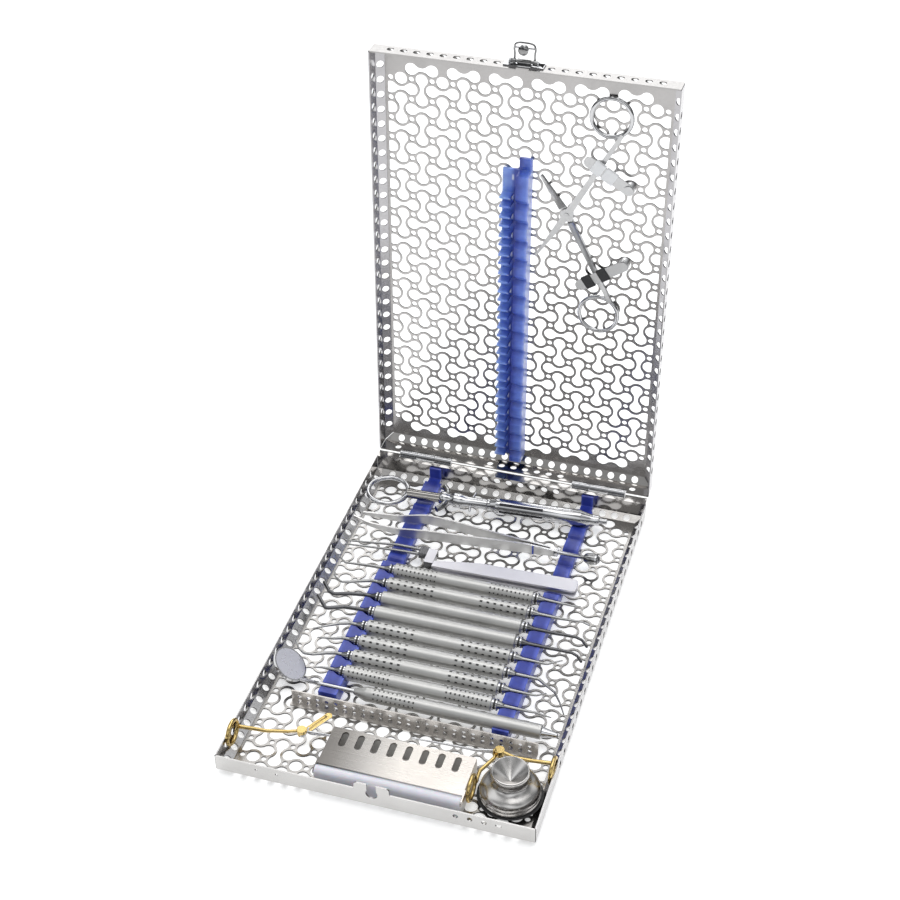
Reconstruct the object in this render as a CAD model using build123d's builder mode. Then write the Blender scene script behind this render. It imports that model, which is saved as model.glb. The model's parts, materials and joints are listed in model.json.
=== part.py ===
from build123d import *
import os
from math import atan, atan2, cos, degrees, hypot, radians, sin, sqrt

# Dental instrument cassette, full DIN size, standing open with its instruments in it.
# Millimetres. +X right, +Y towards the hinge, +Z up. The origin is under the middle of the base tray.
os.makedirs("parts", exist_ok=True)

# ---- The two trays ---------------------------------------------------------------------
sheet = 0.8              # stainless sheet of both trays
tray_width = 187.0       # outside, both trays
base_length = 280.8      # outside, front wall to back wall
base_height = 14.5       # underside of the floor to the rim
lid_height = 14.4        # outside of the panel to the rim
lid_overhang = 1.4       # lid's front wall in front of the base's front wall when closed
bevel_run = 5.6          # sloped strip between floor and wall, measured along the floor
bevel_rise = 3.6         # and its height
corner_gap = 0.3         # each wall stops this short of the corner line
rim_gap = 0.1            # hinge axis above the base's rim: the space between the closed rims
touch_gap = 0.3          # space round pieces that lie in a holder

# ---- Perforation -----------------------------------------------------------------------
pitch = 13.0             # lattice of the floor and of the lid panel
columns = 14
rows = 20
lobe_radius = 3.9        # round ends of the dog-bone holes
small_radius = 1.6       # small holes on the lattice points
lattice_shift = 0.5      # lid's lattice towards the hinge
side_margin = 1.9        # lattice column to the straight cut at the sides
bevel_hole = 4.5         # holes in the sloped strips
wall_hole = 4.3          # holes in the upright walls
wall_row = 9.3           # height of the holes in the upright walls
back_row = 11.2          # in the base's back wall
lid_front_row = 8.5      # in the lid's front wall
lid_hinge_row = 9.6      # in the lid's hinge wall
long_pitch = 9.7         # spacing of the holes along the long walls
short_pitch = 8.15       # and along the short walls
plain_wall = 50.0        # front end of the right wall without holes

# ---- Hinge -----------------------------------------------------------------------------
open_angle = 92.9        # lid from closed to its stop
hinge_offset = 6.4       # hinge axis behind the back wall
hinge_x = 60.0           # middle of each hinge, left and right
hinge_width = 36.0
knuckle_radius = 2.3
pin_radius = 1.1
fit_clearance = 0.05     # radial, pins and other running fits
hinge_play = 0.3         # along the pin, between knuckles
knuckle_room = 0.4       # round the knuckles
leaf_thickness = 1.0
leaf_height = 9.0        # lid's leaf, from the axis
ledge_depth = 5.6        # flange behind the back wall, at rim height
ledge_corner = 2.1       # what is left of it at the hinges
lid_wall_offset = 0.5    # hinge axis to the outside of the lid's hinge wall

# ---- Latch -----------------------------------------------------------------------------
tab_width = 20.6         # raised tab in the middle of the front wall
tab_height = 19.6        # its top, above the underside
keyhole_height = 12.7
keyhole_radius = 3.5
keyhole_neck = 5.5
stud_radius = 3.0
stud_room = 1.0          # round the stud in the lid's front wall
latch_width = 18.0
tab_corner = 2.0
drain_x = 56.3           # three drain holes and a slot to the right of the tab
drain_height = 10.6
drain_hole = 3.0
slot_size = (3.6, 1.8)
pin_hole = 1.6           # two small holes to the left of the tab
latch_pin_radius = 0.8
lever_thickness = 1.2
lever_drop = 0.9         # middle of the lever below its pin
lever_beyond = 4.0       # lever past the stud's middle
stud_chamfer = 0.5
stud_through = 0.4       # stud past the inside of the keyhole's wall
bracket_below = 4.5      # bracket's plate below its pin
bracket_height = 7.5
bracket_margin = 3.0     # and beside the lever
latch_pin_out = 2.4      # latch pin outside the lid's front wall
latch_pin_height = 8.0   # latch pin to the stud, along the lever
latch_radius = 1.9

# ---- What lies in the base -------------------------------------------------------------
axis_height = 10.0       # instrument axes above the underside
seat_pitch = 13.25       # spacing of the instruments
first_seat = 38.3        # the one nearest the hinge
instrument_count = 8
handle_radius = 4.75
handle_left = -46.0
handle_right = 44.5
collar_radius = 3.6
collar_length = 3.5
socket_length = 3.7
shank_radius = 1.3
handle_round = 0.8       # edges of the two smooth handles
knurl_margin = 3.0       # first grip ring from the handle's end
knurl_pitch = 2.7
knurl_rings = 10
knurl_depth = 0.25
left_rail = (-56.5, -45.0)
right_rail = (49.5, 59.5)
tip_straight = (-58.0, 65.5) # shanks run straight as far as these
rail_back = 133.0
rail_low_top = 6.0       # the rails where nothing is seated
rail_high_top = 10.5     # and between the instruments
rail_wall = 1.5
tail_width = 8.0         # tongue of each rail up the tray's wall
tail_thickness = 2.0
tail_room = 1.0          # the tongue leaves the floor this far before the bevel
rail_notch = 1.6         # half diagonal of the notches in the low part
divider_x = (-72.0, 78.0)
divider_y = -76.9
divider_top = 9.6
divider_foot = 4.0
divider_pitch = 5.6
divider_hole = 2.4
divider_rows = (2.1, 5.7) # heights of its two rows of holes

mirror_radius = 4.4
mirror_handle = (-28.0, 77.7)
mirror_head = (-79.4, -58.3, 11.5)
mirror_head_radius = 11.2
mirror_cup = 2.2
mirror_rim = 0.8
mirror_glass_thickness = 1.0
mirror_facing = (0.64, 0.08, 0.77)
mirror_taper = 8.0       # from the handle to the stem
mirror_chamfer = 1.0
mirror_cone = (9.5, 1.2) # right end of the handle: length, radius at its end
mirror_stem_bend = 4.0
mirror_stem_inset = 0.6  # stem inside the rim of the cup
mirror_cup_round = 0.7

syringe_y = 116.5
syringe_tilt = 3.5
barrel_radius = 5.5
barrel_x = (0.0, 55.0)
grip_x = (-40.0, -30.0)
grip_radius = 5.0        # thick parts of the finger grip
grip_waist = 3.6         # and its waist and neck
grip_edge = 4.2
grip_reach = 12.0
bow_size = (6.4, 4.4)    # finger bow across the grip: width, thickness
neck_length = 8.0        # cone from the neck to the barrel
window_width = 5.0       # slot through the barrel, both sides
window_margin = 3.0
bore_floor = 5.0         # bore stops this far before the barrel's end
hub_radius = 3.4
hub_length = (6.0, 6.0)  # cone, then cylinder
needle_socket = (5.0, 1.8)
plunger_radius = 3.2
plunger_end = 34.0
thumb_ring_x = -75.8
thumb_ring_radius = 13.4
thumb_ring_wire = 1.6

leg_thickness = 1.2
leg_height = 7.6
leg_bend = 25.0
leg_taper = (-38.0, 30.0) # full height between these
leg_tip = 1.2            # height at the tips
leg_heel_cut = 1.8       # taper at the heel, top and bottom
heel_block = 5.0
heel_neck = 1.3
front_leg = [(-88.9, 80.9), (-76, 75.8), (-56, 74), (-31, 76.5), (24.6, 81.4), (46, 82.0)]
back_leg = [(-84, 85.5), (-60, 86.5), (-42, 91), (-23, 90), (24.6, 84.6), (46, 84.2)]
heel_x = 72.4
heel_radius = 3.6
flat_thickness = 1.4
flat_gap = 2.2
flat_grip = [(-25.0, 47.5), (68.0, 49.5), (68.0, 60.5), (4.0, 58.3), (-25.0, 52.5)]
flat_corner = 2.5
flat_spacer = (8.0, 4.0, 3.0) # between the grips: from the end, length, from the sides
flat_joint = (6.0, 0.5)  # block before the grips: length, above them
flat_joint_y = (49.5, 62.5)
flat_neck = (6.0, 0.5)   # next block towards the prongs: length, below the first
flat_neck_y = (57.5, 64.5)
prong_radius = 1.1
prong_tip = 0.5
prong_shoulder = 16.0    # where the prongs bend
flat_prong_y = 61.0
flat_tip_x = -86.4

box_x = (-35.9, 49.0)
box_front = -135.8
box_back = -101.2
box_top = 15.3
box_chamfer = 1.6        # lower front edge, clears the tray's bevel
box_cover_thickness = 1.2
box_wall = 1.5
box_bar_radius = 3.0
box_bar_drop = 1.0       # bar's axis below the underside of the cover
box_bar_gap = 0.5        # between the bar and the cover
box_pin_radius = 1.2
box_slot = (11.0, 4.0)
box_slot_count = 8
box_slot_pitch = 9.56
box_slot_start = 8.5     # first slot from the left side
box_slot_shift = 6.3     # slots behind the cover's middle
box_ear_radius = 2.2
box_ear_length = 4.0
box_ear_drop = 1.5
box_ear_lap = 1.0        # ear's root on the cover

well_place = (71.2, -111.5)
well_ring_radius = 18.8
well_ring_height = 3.0
well_ring_undercut = 2.6 # clears the tray's bevel
well_foot_edge = 3.5
well_radius = 17.3
well_neck = 9.4
well_rim = 11.0
well_top = 23.5
well_dish = 8.5
well_shoulder = (2.8, 8.0) # inside the foot's edge, above the ring
well_lip = 1.0
well_lip_slope = 0.4
well_brim = 1.2

scissor_z = 9.6          # plane between the two halves of each pair
scissor_layer = 2.0
scissor_bar = 0.95
scissor_boss = 2.6
scissor_tip = 0.5
scissor_bend = 3.0
scissor_paddle = (20.0, 4.2, 1.0) # thumb piece of the left pair: length, width, thickness
paddle_place = (-48.1, -96.0, 60.0) # its middle and how it is turned
scissor_ring = 7.2
ring_height = 12.4
left_joint = (-54.5, -105.6)
right_joint = (58.5, -88.4)
left_ring_x = 91.4
left_ring_y = -119.5
right_ring_y = -95.5
inner_ring_x = 51.4
inner_ring_y = -120.5

# ---- What lies in the lid, in the lid's frame ------------------------------------------
lid_rail_x = (-13.2, 5.3)
lid_rail_end = 219.0
lid_rail_base = 2.5
lid_rail_depth = 11.0
lid_rail_ridge = 8.0
lid_rail_gap = 1.5       # between the bevel and the rail
ridge_notch = 3.2        # half diagonal of the ridge's notches
fin_length = 7.2
fin_thickness = 1.4
fin_spread = 3.0         # each fin of a pair from its notch
fin_drop = 1.0           # fins below the ridge
forceps_pivot = (27.7, 49.1)     # these four from the middle of the lid's lattice
upper_ring = (52.0, 116.3)
lower_ring = (50.5, -17.3)
lower_tip = (9.1, 18.4)
upper_tip = (10.9, 73.3)
forceps_thickness = 2.6
forceps_ring = 12.2
forceps_boss = 4.2
forceps_pin = 1.6
forceps_relief = 1.4     # half thickness this far outside the joint's disc
forceps_shank = (2.2, 1.2) # half widths at the joint and at the ring
forceps_jaw = (2.4, 0.6) # and at the joint and the tip
forceps_rivet = 0.4      # pin above the joint
forceps_lean = 55.0      # a shank meets its ring this far round from the joint's side
upper_clip_end = (40.8, 87.7)
lower_clip_end = (39.1, 3.7)
rivet_radius = 1.5
clip_width = 7.0
clip_thickness = 0.8
clip_height = 4.6        # underside of a clip above the panel
sleeve_wall = 0.7
sleeve_corner = 0.5
upper_sleeves = ((10.0, 18.0), (19.0, 26.0)) # start and end, from the rivet
lower_sleeves = ((11.5, 17.5), (22.5, 28.5))

half_width = tray_width / 2
half_base = base_length / 2
hinge_y = half_base + hinge_offset
hinge_z = base_height + rim_gap
lid_front = hinge_y + half_base + lid_overhang
floor_top = sheet
stud_depth = hinge_z - keyhole_height
bevel_slope = atan(bevel_rise / bevel_run)
bevel_inner_rise = (sheet + (bevel_run - sheet) * sin(bevel_slope)) / cos(bevel_slope)

# The lid's own frame: origin on the hinge axis, y from the hinge to the front wall, z towards the rim.
swing = radians(open_angle)
lid_frame = Plane(origin=(0, hinge_y, hinge_z), x_dir=(1, 0, 0), z_dir=(0, -sin(swing), -cos(swing)))
lid_inside = sheet - lid_height
lid_middle = (lid_front + lid_wall_offset) / 2
lid_lattice = lid_middle - lattice_shift
upper_rivet = (65.3, lid_lattice + 72.8)
lower_rivet = (64.9, lid_lattice + 21.2)


def turned(frame, x, y, z, angle=0):
    """A plane at a place of a frame, turned about the frame's z axis."""
    return Plane(frame.location * Location((x, y, z), (0, 0, angle)))


def lid_section(x):
    """A plane across the lid: sketch x is the lid's y, sketch y is the lid's z."""
    return Plane(lid_frame.from_local_coords((x, 0, 0)), x_dir=lid_frame.y_dir, z_dir=lid_frame.x_dir)


def finish(part, name):
    """Names a finished piece and writes it."""
    part.label = name
    export_step(part, f"parts/{name}.step")


# ---- Perforated floor and lid panel ----------------------------------------------------
def bone_sketch():
    """One dog-bone hole: two round lobes joined by a waist whose sides touch them tangentially."""
    waist_radius = pitch / sqrt(2) - lobe_radius
    half = pitch / 2
    touch = half * waist_radius / (waist_radius + lobe_radius)
    rise = half - touch
    with BuildSketch() as bone:
        with BuildLine():
            ThreePointArc((-touch, rise), (0, half - waist_radius), (touch, rise))
            ThreePointArc((touch, rise), (half + lobe_radius, 0), (touch, -rise))
            ThreePointArc((touch, -rise), (0, waist_radius - half), (-touch, -rise))
            ThreePointArc((-touch, -rise), (-half - lobe_radius, 0), (-touch, rise))
        make_face()
    return bone.sketch


def lattice_point(i, j):
    """Column i and row j of the lattice, measured from its middle; row 0 is nearest +y."""
    return (i - (columns - 1) / 2) * pitch, ((rows - 1) / 2 - j) * pitch


def perforation():
    """All holes of one sheet: alternating bones, small holes between them, cut lobes at the sides."""
    level = [(i, j) for i in range(columns - 1) for j in range(rows - 1) if (i + j) % 2 == 0]
    upright = [(i, j) for i in range(columns - 1) for j in range(rows - 1) if (i + j) % 2 == 1]
    level += [(i, j) for i in range(1, columns - 2, 2) for j in (-1, rows - 1)]
    ends = [(i + 0.5, j) for i in range(0, columns - 1, 2) for j in (0, rows - 1)]
    sides = [(i, j + 0.5) for i in (0, columns - 1) for j in range(1, rows - 1, 2)]
    bone = bone_sketch()
    with BuildSketch() as holes:
        with Locations(*[lattice_point(i + 0.5, j + 0.5) for i, j in level]):
            add(bone)
        with Locations(*[Location((*lattice_point(i + 0.5, j + 0.5), 0), (0, 0, 90)) for i, j in upright]):
            add(bone)
        with Locations(*[lattice_point(i, j) for i, j in ends + sides]):
            Circle(lobe_radius)
        Rectangle((columns - 1) * pitch + 2 * side_margin, (rows + 2) * pitch, mode=Mode.INTERSECT)
        with Locations(*[lattice_point(i, j) for i in range(columns) for j in range(rows)]):
            Circle(small_radius)
    return holes.sketch


sheet_holes = perforation()

with BuildPart() as base_floor:
    with BuildSketch():
        Rectangle(tray_width - 2 * bevel_run, base_length - 2 * bevel_run)
        add(sheet_holes, mode=Mode.SUBTRACT)
    extrude(amount=sheet)
finish(base_floor.part, "base_floor")


# ---- Tray walls ------------------------------------------------------------------------
def spots(count, spacing):
    """Evenly spaced hole positions about the middle of a wall."""
    return [(n - (count - 1) / 2) * spacing for n in range(count)]


def tray_wall(edge, length, height, bevel_spots, wall_spots, row=wall_row):
    """A wall with its bevel. The edge plane has x along the wall, y inwards and z towards the rim."""
    with BuildPart() as wall:
        with BuildSketch(Plane(edge.origin, x_dir=edge.y_dir, z_dir=edge.x_dir)):
            with BuildLine():
                Polyline(
                    (bevel_run, 0),
                    (0, bevel_rise),
                    (0, height),
                    (sheet, height),
                    (sheet, bevel_inner_rise),
                    (bevel_run, sheet / cos(bevel_slope)),
                    close=True,
                )
            make_face()
        extrude(amount=length / 2, both=True)
        for end in (1, -1):
            corner = edge.from_local_coords((end * (length / 2 - corner_gap), 0, 0))
            split(bisect_by=Plane(corner, z_dir=edge.x_dir * end + edge.y_dir), keep=Keep.BOTTOM)
        middle = edge.from_local_coords((0, bevel_run / 2, bevel_rise / 2))
        outward = edge.y_dir * -sin(bevel_slope) - edge.z_dir * cos(bevel_slope)
        with BuildSketch(Plane(middle, x_dir=edge.x_dir, z_dir=outward)):
            with Locations(*[(x, 0) for x in bevel_spots]):
                Circle(bevel_hole / 2)
        extrude(amount=2 * sheet, both=True, mode=Mode.SUBTRACT)
        if wall_spots:
            hole_line = edge.from_local_coords((0, 0, row))
            with BuildSketch(Plane(hole_line, x_dir=edge.x_dir, z_dir=edge.y_dir)):
                with Locations(*[(x, 0) for x in wall_spots]):
                    Circle(wall_hole / 2)
            extrude(amount=2 * sheet, both=True, mode=Mode.SUBTRACT)
    return wall.part


long_count = int((base_length - 2 * bevel_run) / long_pitch) + 1
short_count = int((tray_width - 2 * bevel_run) / short_pitch)
long_bevel = spots(long_count, long_pitch)
long_wall = spots(long_count - 1, long_pitch)
short_bevel = spots(short_count, short_pitch)
right_wall_bevel = [x for x in long_bevel if x > plain_wall - half_base]
right_wall_wall = [x for x in long_wall if x > plain_wall - half_base]

base_left_edge = turned(Plane.XY, -half_width, 0, 0, -90)
base_right_edge = turned(Plane.XY, half_width, 0, 0, 90)
base_front_edge = turned(Plane.XY, 0, -half_base, 0, 0)
base_back_edge = turned(Plane.XY, 0, half_base, 0, 180)

with BuildPart() as base_left_wall:
    add(tray_wall(base_left_edge, base_length, base_height, long_bevel, long_wall))
finish(base_left_wall.part, "base_left_wall")

with BuildPart() as base_right_wall:
    add(tray_wall(base_right_edge, base_length, base_height, right_wall_bevel, right_wall_wall))
finish(base_right_wall.part, "base_right_wall")

# The front wall carries the latch tab with its keyhole, three drain holes and a small slot.
with BuildPart() as base_front_wall:
    add(tray_wall(base_front_edge, tray_width, base_height, short_bevel, []))
    with BuildSketch(Plane.XZ.offset(half_base)):
        with Locations((0, (base_height + tab_height) / 2)):
            Rectangle(tab_width, tab_height - base_height)
    extrude(amount=-sheet)
    tab_corners = base_front_wall.edges().filter_by(Axis.Y).group_by(Axis.Z)[-1]
    fillet(tab_corners, radius=tab_corner)
    with BuildSketch(Plane.XZ.offset(half_base + sheet)):
        with Locations((0, keyhole_height)):
            Circle(keyhole_radius)
        with Locations((0, (keyhole_height + tab_height) / 2)):
            Rectangle(keyhole_neck, tab_height - keyhole_height)
        with Locations(*[(drain_x + n * short_pitch, drain_height) for n in (-1, 0, 1)]):
            Circle(drain_hole / 2)
        with Locations((drain_x + 2 * short_pitch, drain_height)):
            SlotOverall(*slot_size)
        with Locations((-drain_x, drain_height), (-drain_x - 1.5 * short_pitch, drain_height)):
            Circle(pin_hole / 2)
    extrude(amount=-3 * sheet, mode=Mode.SUBTRACT)
finish(base_front_wall.part, "base_front_wall")

# The back wall is folded out at the rim into a ledge, cut back where the hinges sit.
hinge_cut = hinge_width + 2 * hinge_play
hinge_cut_y = half_base + ledge_corner
with BuildPart() as base_back_wall:
    back_cluster = [n * short_pitch for n in range(-4, 3)]
    add(tray_wall(base_back_edge, tray_width, base_height, short_bevel, back_cluster, back_row))
    with BuildSketch(Plane.XY.offset(base_height - sheet)):
        with Locations((0, half_base + ledge_depth / 2)):
            Rectangle(tray_width - 4 * corner_gap, ledge_depth)
        with Locations((-hinge_x, hinge_cut_y + ledge_depth / 2), (hinge_x, hinge_cut_y + ledge_depth / 2)):
            Rectangle(hinge_cut, ledge_depth, mode=Mode.SUBTRACT)
    extrude(amount=sheet)
finish(base_back_wall.part, "base_back_wall")

# The lid is a tray of the same kind; its panel lies below its rim in the lid's own frame.
lid_length = lid_front - lid_wall_offset
lid_tray = turned(lid_frame, 0, lid_middle, -lid_height)
lid_left_edge = turned(lid_tray, -half_width, 0, 0, -90)
lid_right_edge = turned(lid_tray, half_width, 0, 0, 90)
lid_front_edge = turned(lid_tray, 0, lid_length / 2, 0, 180)
lid_hinge_edge = turned(lid_tray, 0, -lid_length / 2, 0, 0)

with BuildPart() as lid_panel:
    with BuildSketch(lid_tray):
        Rectangle(tray_width - 2 * bevel_run, lid_length - 2 * bevel_run)
        with Locations((0, lid_lattice - lid_middle)):
            add(sheet_holes, mode=Mode.SUBTRACT)
        for x, y in (upper_rivet, lower_rivet):
            with Locations((x, y - lid_middle)):
                Circle(rivet_radius + fit_clearance, mode=Mode.SUBTRACT)
    extrude(amount=sheet)
finish(lid_panel.part, "lid_panel")

with BuildPart() as lid_left_wall:
    add(tray_wall(lid_left_edge, lid_length, lid_height, long_bevel, long_wall))
finish(lid_left_wall.part, "lid_left_wall")

with BuildPart() as lid_right_wall:
    add(tray_wall(lid_right_edge, lid_length, lid_height, long_bevel, long_wall))
finish(lid_right_wall.part, "lid_right_wall")

# The lid's front wall is cut out at the rim for the stud of the latch.
with BuildPart() as lid_front_wall:
    middle_spots = [n * short_pitch for n in range(-10, 11) if abs(n) > 1]
    add(tray_wall(lid_front_edge, tray_width, lid_height, short_bevel, middle_spots, lid_front_row))
    with BuildSketch(turned(lid_frame, 0, lid_front, stud_depth - stud_radius - stud_room)):
        Rectangle(2 * (stud_radius + stud_room), 4 * sheet)
    extrude(amount=lid_height, mode=Mode.SUBTRACT)
finish(lid_front_wall.part, "lid_front_wall")

# The lid's hinge wall is cut out round the knuckles.
with BuildPart() as lid_hinge_wall:
    cluster = [n * short_pitch for n in (-10, -2, -1, 0, 1, 2, 3, 4, 10)]
    add(tray_wall(lid_hinge_edge, tray_width, lid_height, short_bevel, cluster, lid_hinge_row))
    for x in (-hinge_x, hinge_x):
        with BuildSketch(turned(lid_frame, x, lid_wall_offset, -knuckle_radius - knuckle_room)):
            Rectangle(hinge_cut, 4 * sheet)
        extrude(amount=2 * knuckle_radius, mode=Mode.SUBTRACT)
finish(lid_hinge_wall.part, "lid_hinge_wall")

# ---- Hinges ----------------------------------------------------------------------------
third = hinge_width / 3
leaf_top = base_height - sheet
relief = hinge_offset - knuckle_radius - knuckle_room

with BuildPart() as base_hinge_leaves:
    for x in (-hinge_x, hinge_x):
        with BuildSketch(Plane.YZ.offset(x)):
            with Locations((half_base + relief / 2, leaf_top - leaf_thickness / 2)):
                Rectangle(relief, leaf_thickness)
        extrude(amount=hinge_width / 2, both=True)
        for side in (-1, 1):
            with BuildSketch(Plane.YZ.offset(x + side * (third / 2 + hinge_play))):
                with Locations((hinge_y, hinge_z)):
                    Circle(knuckle_radius)
                with Locations((half_base + hinge_offset / 2, leaf_top - leaf_thickness / 2)):
                    Rectangle(hinge_offset, leaf_thickness)
                with Locations((hinge_y, hinge_z)):
                    Circle(pin_radius + fit_clearance, mode=Mode.SUBTRACT)
            extrude(amount=side * (third - hinge_play))
finish(base_hinge_leaves.part, "base_hinge_leaves")

with BuildPart() as hinge_pins:
    for x in (-hinge_x, hinge_x):
        with BuildSketch(Plane.YZ.offset(x)):
            with Locations((hinge_y, hinge_z)):
                Circle(pin_radius)
        extrude(amount=hinge_width / 2, both=True)
finish(hinge_pins.part, "hinge_pins")

with BuildPart() as lid_hinge_leaves:
    for x in (-hinge_x, hinge_x):
        with BuildSketch(lid_section(x)):
            Circle(knuckle_radius)
            with Locations((lid_wall_offset - sheet / 2, -leaf_height / 2)):
                Rectangle(sheet, leaf_height)
            Circle(pin_radius + fit_clearance, mode=Mode.SUBTRACT)
        extrude(amount=third / 2, both=True)
        with BuildSketch(lid_section(x)):
            plate_low = knuckle_radius + knuckle_room
            with Locations((lid_wall_offset - sheet / 2, -(leaf_height + plate_low) / 2)):
                Rectangle(sheet, leaf_height - plate_low)
        extrude(amount=hinge_width / 2, both=True)
finish(lid_hinge_leaves.part, "lid_hinge_leaves")

# ---- Latch -----------------------------------------------------------------------------
# A lever on a pin outside the lid's front wall; its stud drops into the keyhole of the base.
# At rest the lever stands straight out from the wall, so its length lies along the lid's y axis.
pin_z = stud_depth - latch_pin_height
pin_y = lid_front + latch_pin_out
with BuildPart() as latch_bracket:
    with BuildSketch(turned(lid_frame, 0, lid_front + sheet / 2, pin_z - bracket_below)):
        Rectangle(latch_width + 2 * bracket_margin, sheet)
    extrude(amount=bracket_height)
    for side in (-1, 1):
        with BuildSketch(lid_section(side * latch_width / 2)):
            with Locations((lid_front + (latch_pin_out + sheet) / 2, pin_z)):
                Rectangle(latch_pin_out + sheet, 2 * latch_radius)
            with Locations((pin_y, pin_z)):
                Circle(latch_radius)
        extrude(amount=-side * sheet)
    with BuildSketch(lid_section(0)):
        with Locations((pin_y, pin_z)):
            Circle(latch_pin_radius)
    extrude(amount=latch_width / 2, both=True)
finish(latch_bracket.part, "latch_bracket")

# Closed, the stud goes through the gap between the trays and the keyhole's wall.
stud_length = lever_drop + latch_pin_out + lid_overhang + sheet + stud_through
with BuildPart() as latch_lever:
    with BuildSketch(lid_section(0)):
        with Locations((pin_y, pin_z)):
            Circle(latch_pin_out - sheet - touch_gap)
        with Locations((pin_y + (latch_pin_height + lever_beyond) / 2, pin_z - lever_drop)):
            Rectangle(latch_pin_height + lever_beyond, lever_thickness)
        with Locations((pin_y, pin_z)):
            Circle(latch_pin_radius + fit_clearance, mode=Mode.SUBTRACT)
    extrude(amount=latch_width / 2 - sheet - hinge_play, both=True)
    with BuildSketch(turned(lid_frame, 0, pin_y + latch_pin_height, pin_z - lever_drop)):
        Circle(stud_radius)
    extrude(amount=stud_length)
    stud_face = latch_lever.faces().sort_by(Axis(lid_frame.origin, lid_frame.z_dir))[-1]
    chamfer(stud_face.edges(), length=stud_chamfer)
finish(latch_lever.part, "latch_lever")

# ---- Silicone rails --------------------------------------------------------------------
def seat_y(n):
    """Axis of the n-th place on the rails, counted from the instrument nearest the hinge."""
    return first_seat - n * seat_pitch


def flat_box(x_low, x_high, y_low, y_high):
    """A rectangle given by its sides."""
    with BuildSketch() as area:
        with Locations(((x_low + x_high) / 2, (y_low + y_high) / 2)):
            Rectangle(x_high - x_low, y_high - y_low)
    return area.sketch


collar_left = handle_left - collar_length
collar_right = handle_right + collar_length
socket_left = collar_left - socket_length
socket_right = collar_right + socket_length
mirror_y = seat_y(instrument_count)
rail_front = mirror_y - mirror_radius - touch_gap - rail_wall
rail_step = first_seat + handle_radius + touch_gap + rail_wall
tail_wall = half_base - sheet - touch_gap

# Half of the outline of the room that an instrument needs: its own outline, wider by the touch gap.
with BuildSketch() as seat_half:
    with BuildLine():
        Polyline(
            (left_rail[0] - 1, 0),
            (left_rail[0] - 1, shank_radius + touch_gap),
            (socket_left, shank_radius + touch_gap),
            (collar_left, collar_radius + touch_gap),
            (handle_left - touch_gap, collar_radius + touch_gap),
            (handle_left - touch_gap, handle_radius + touch_gap),
            (handle_right + touch_gap, handle_radius + touch_gap),
            (handle_right + touch_gap, collar_radius + touch_gap),
            (collar_right, collar_radius + touch_gap),
            (socket_right, shank_radius + touch_gap),
            (right_rail[1] + 1, shank_radius + touch_gap),
            (right_rail[1] + 1, 0),
            close=True,
        )
    make_face()

with BuildPart() as instrument_room:
    add(seat_half.sketch)
    revolve(axis=Axis.X)
    with BuildSketch():
        add(seat_half.sketch)
        mirror(about=Plane.XZ)
    extrude(amount=axis_height)

syringe_frame = turned(Plane.XY, 0, syringe_y, axis_height, syringe_tilt)
syringe_section = Plane(syringe_frame.origin, x_dir=syringe_frame.y_dir, z_dir=syringe_frame.x_dir)
with BuildPart() as syringe_room:
    with BuildSketch(syringe_section):
        Circle(barrel_radius + touch_gap)
        with Locations((0, axis_height / 2)):
            Rectangle(2 * (barrel_radius + touch_gap), axis_height)
    extrude(amount=tray_width / 2, both=True)


def base_rail(x_low, x_high, room_radius):
    """A silicone strip with a high part that seats the instruments and a low part for the rest."""
    with BuildPart() as rail:
        with BuildSketch(Plane.XY.offset(floor_top)):
            add(flat_box(x_low, x_high, rail_front, rail_back))
        extrude(amount=rail_low_top - floor_top)
        with BuildSketch(Plane.XY.offset(rail_low_top)):
            add(flat_box(x_low, x_high, rail_front, rail_step))
        extrude(amount=rail_high_top - rail_low_top)
        with Locations(*[(0, seat_y(n), axis_height) for n in range(instrument_count)]):
            add(instrument_room.part, mode=Mode.SUBTRACT)
        with BuildSketch(Plane.YZ.offset(x_low - 1)):
            with Locations((mirror_y, axis_height)):
                Circle(room_radius)
            with Locations((mirror_y, axis_height + axis_height / 2)):
                Rectangle(2 * room_radius, axis_height)
            for n in range(-5, 0):
                with Locations((seat_y(n), rail_low_top)):
                    RegularPolygon(radius=rail_notch, side_count=4)
        extrude(amount=x_high - x_low + 2, mode=Mode.SUBTRACT)
        add(syringe_room.part, mode=Mode.SUBTRACT)
        with BuildSketch(Plane.YZ.offset((x_low + x_high) / 2)):
            with BuildLine():
                Polyline(
                    (rail_back, floor_top),
                    (half_base - bevel_run - tail_room, floor_top),
                    (tail_wall, bevel_inner_rise + touch_gap),
                    (tail_wall, base_height - sheet),
                    (tail_wall - tail_thickness, base_height - sheet),
                    (tail_wall - tail_thickness, rail_low_top),
                    (rail_back, rail_low_top),
                    close=True,
                )
            make_face()
        extrude(amount=tail_width / 2, both=True)
    return rail.part


with BuildPart() as base_left_rail:
    add(base_rail(*left_rail, shank_radius + touch_gap))
finish(base_left_rail.part, "base_left_rail")

with BuildPart() as base_right_rail:
    add(base_rail(*right_rail, mirror_radius + touch_gap))
finish(base_right_rail.part, "base_right_rail")

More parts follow.
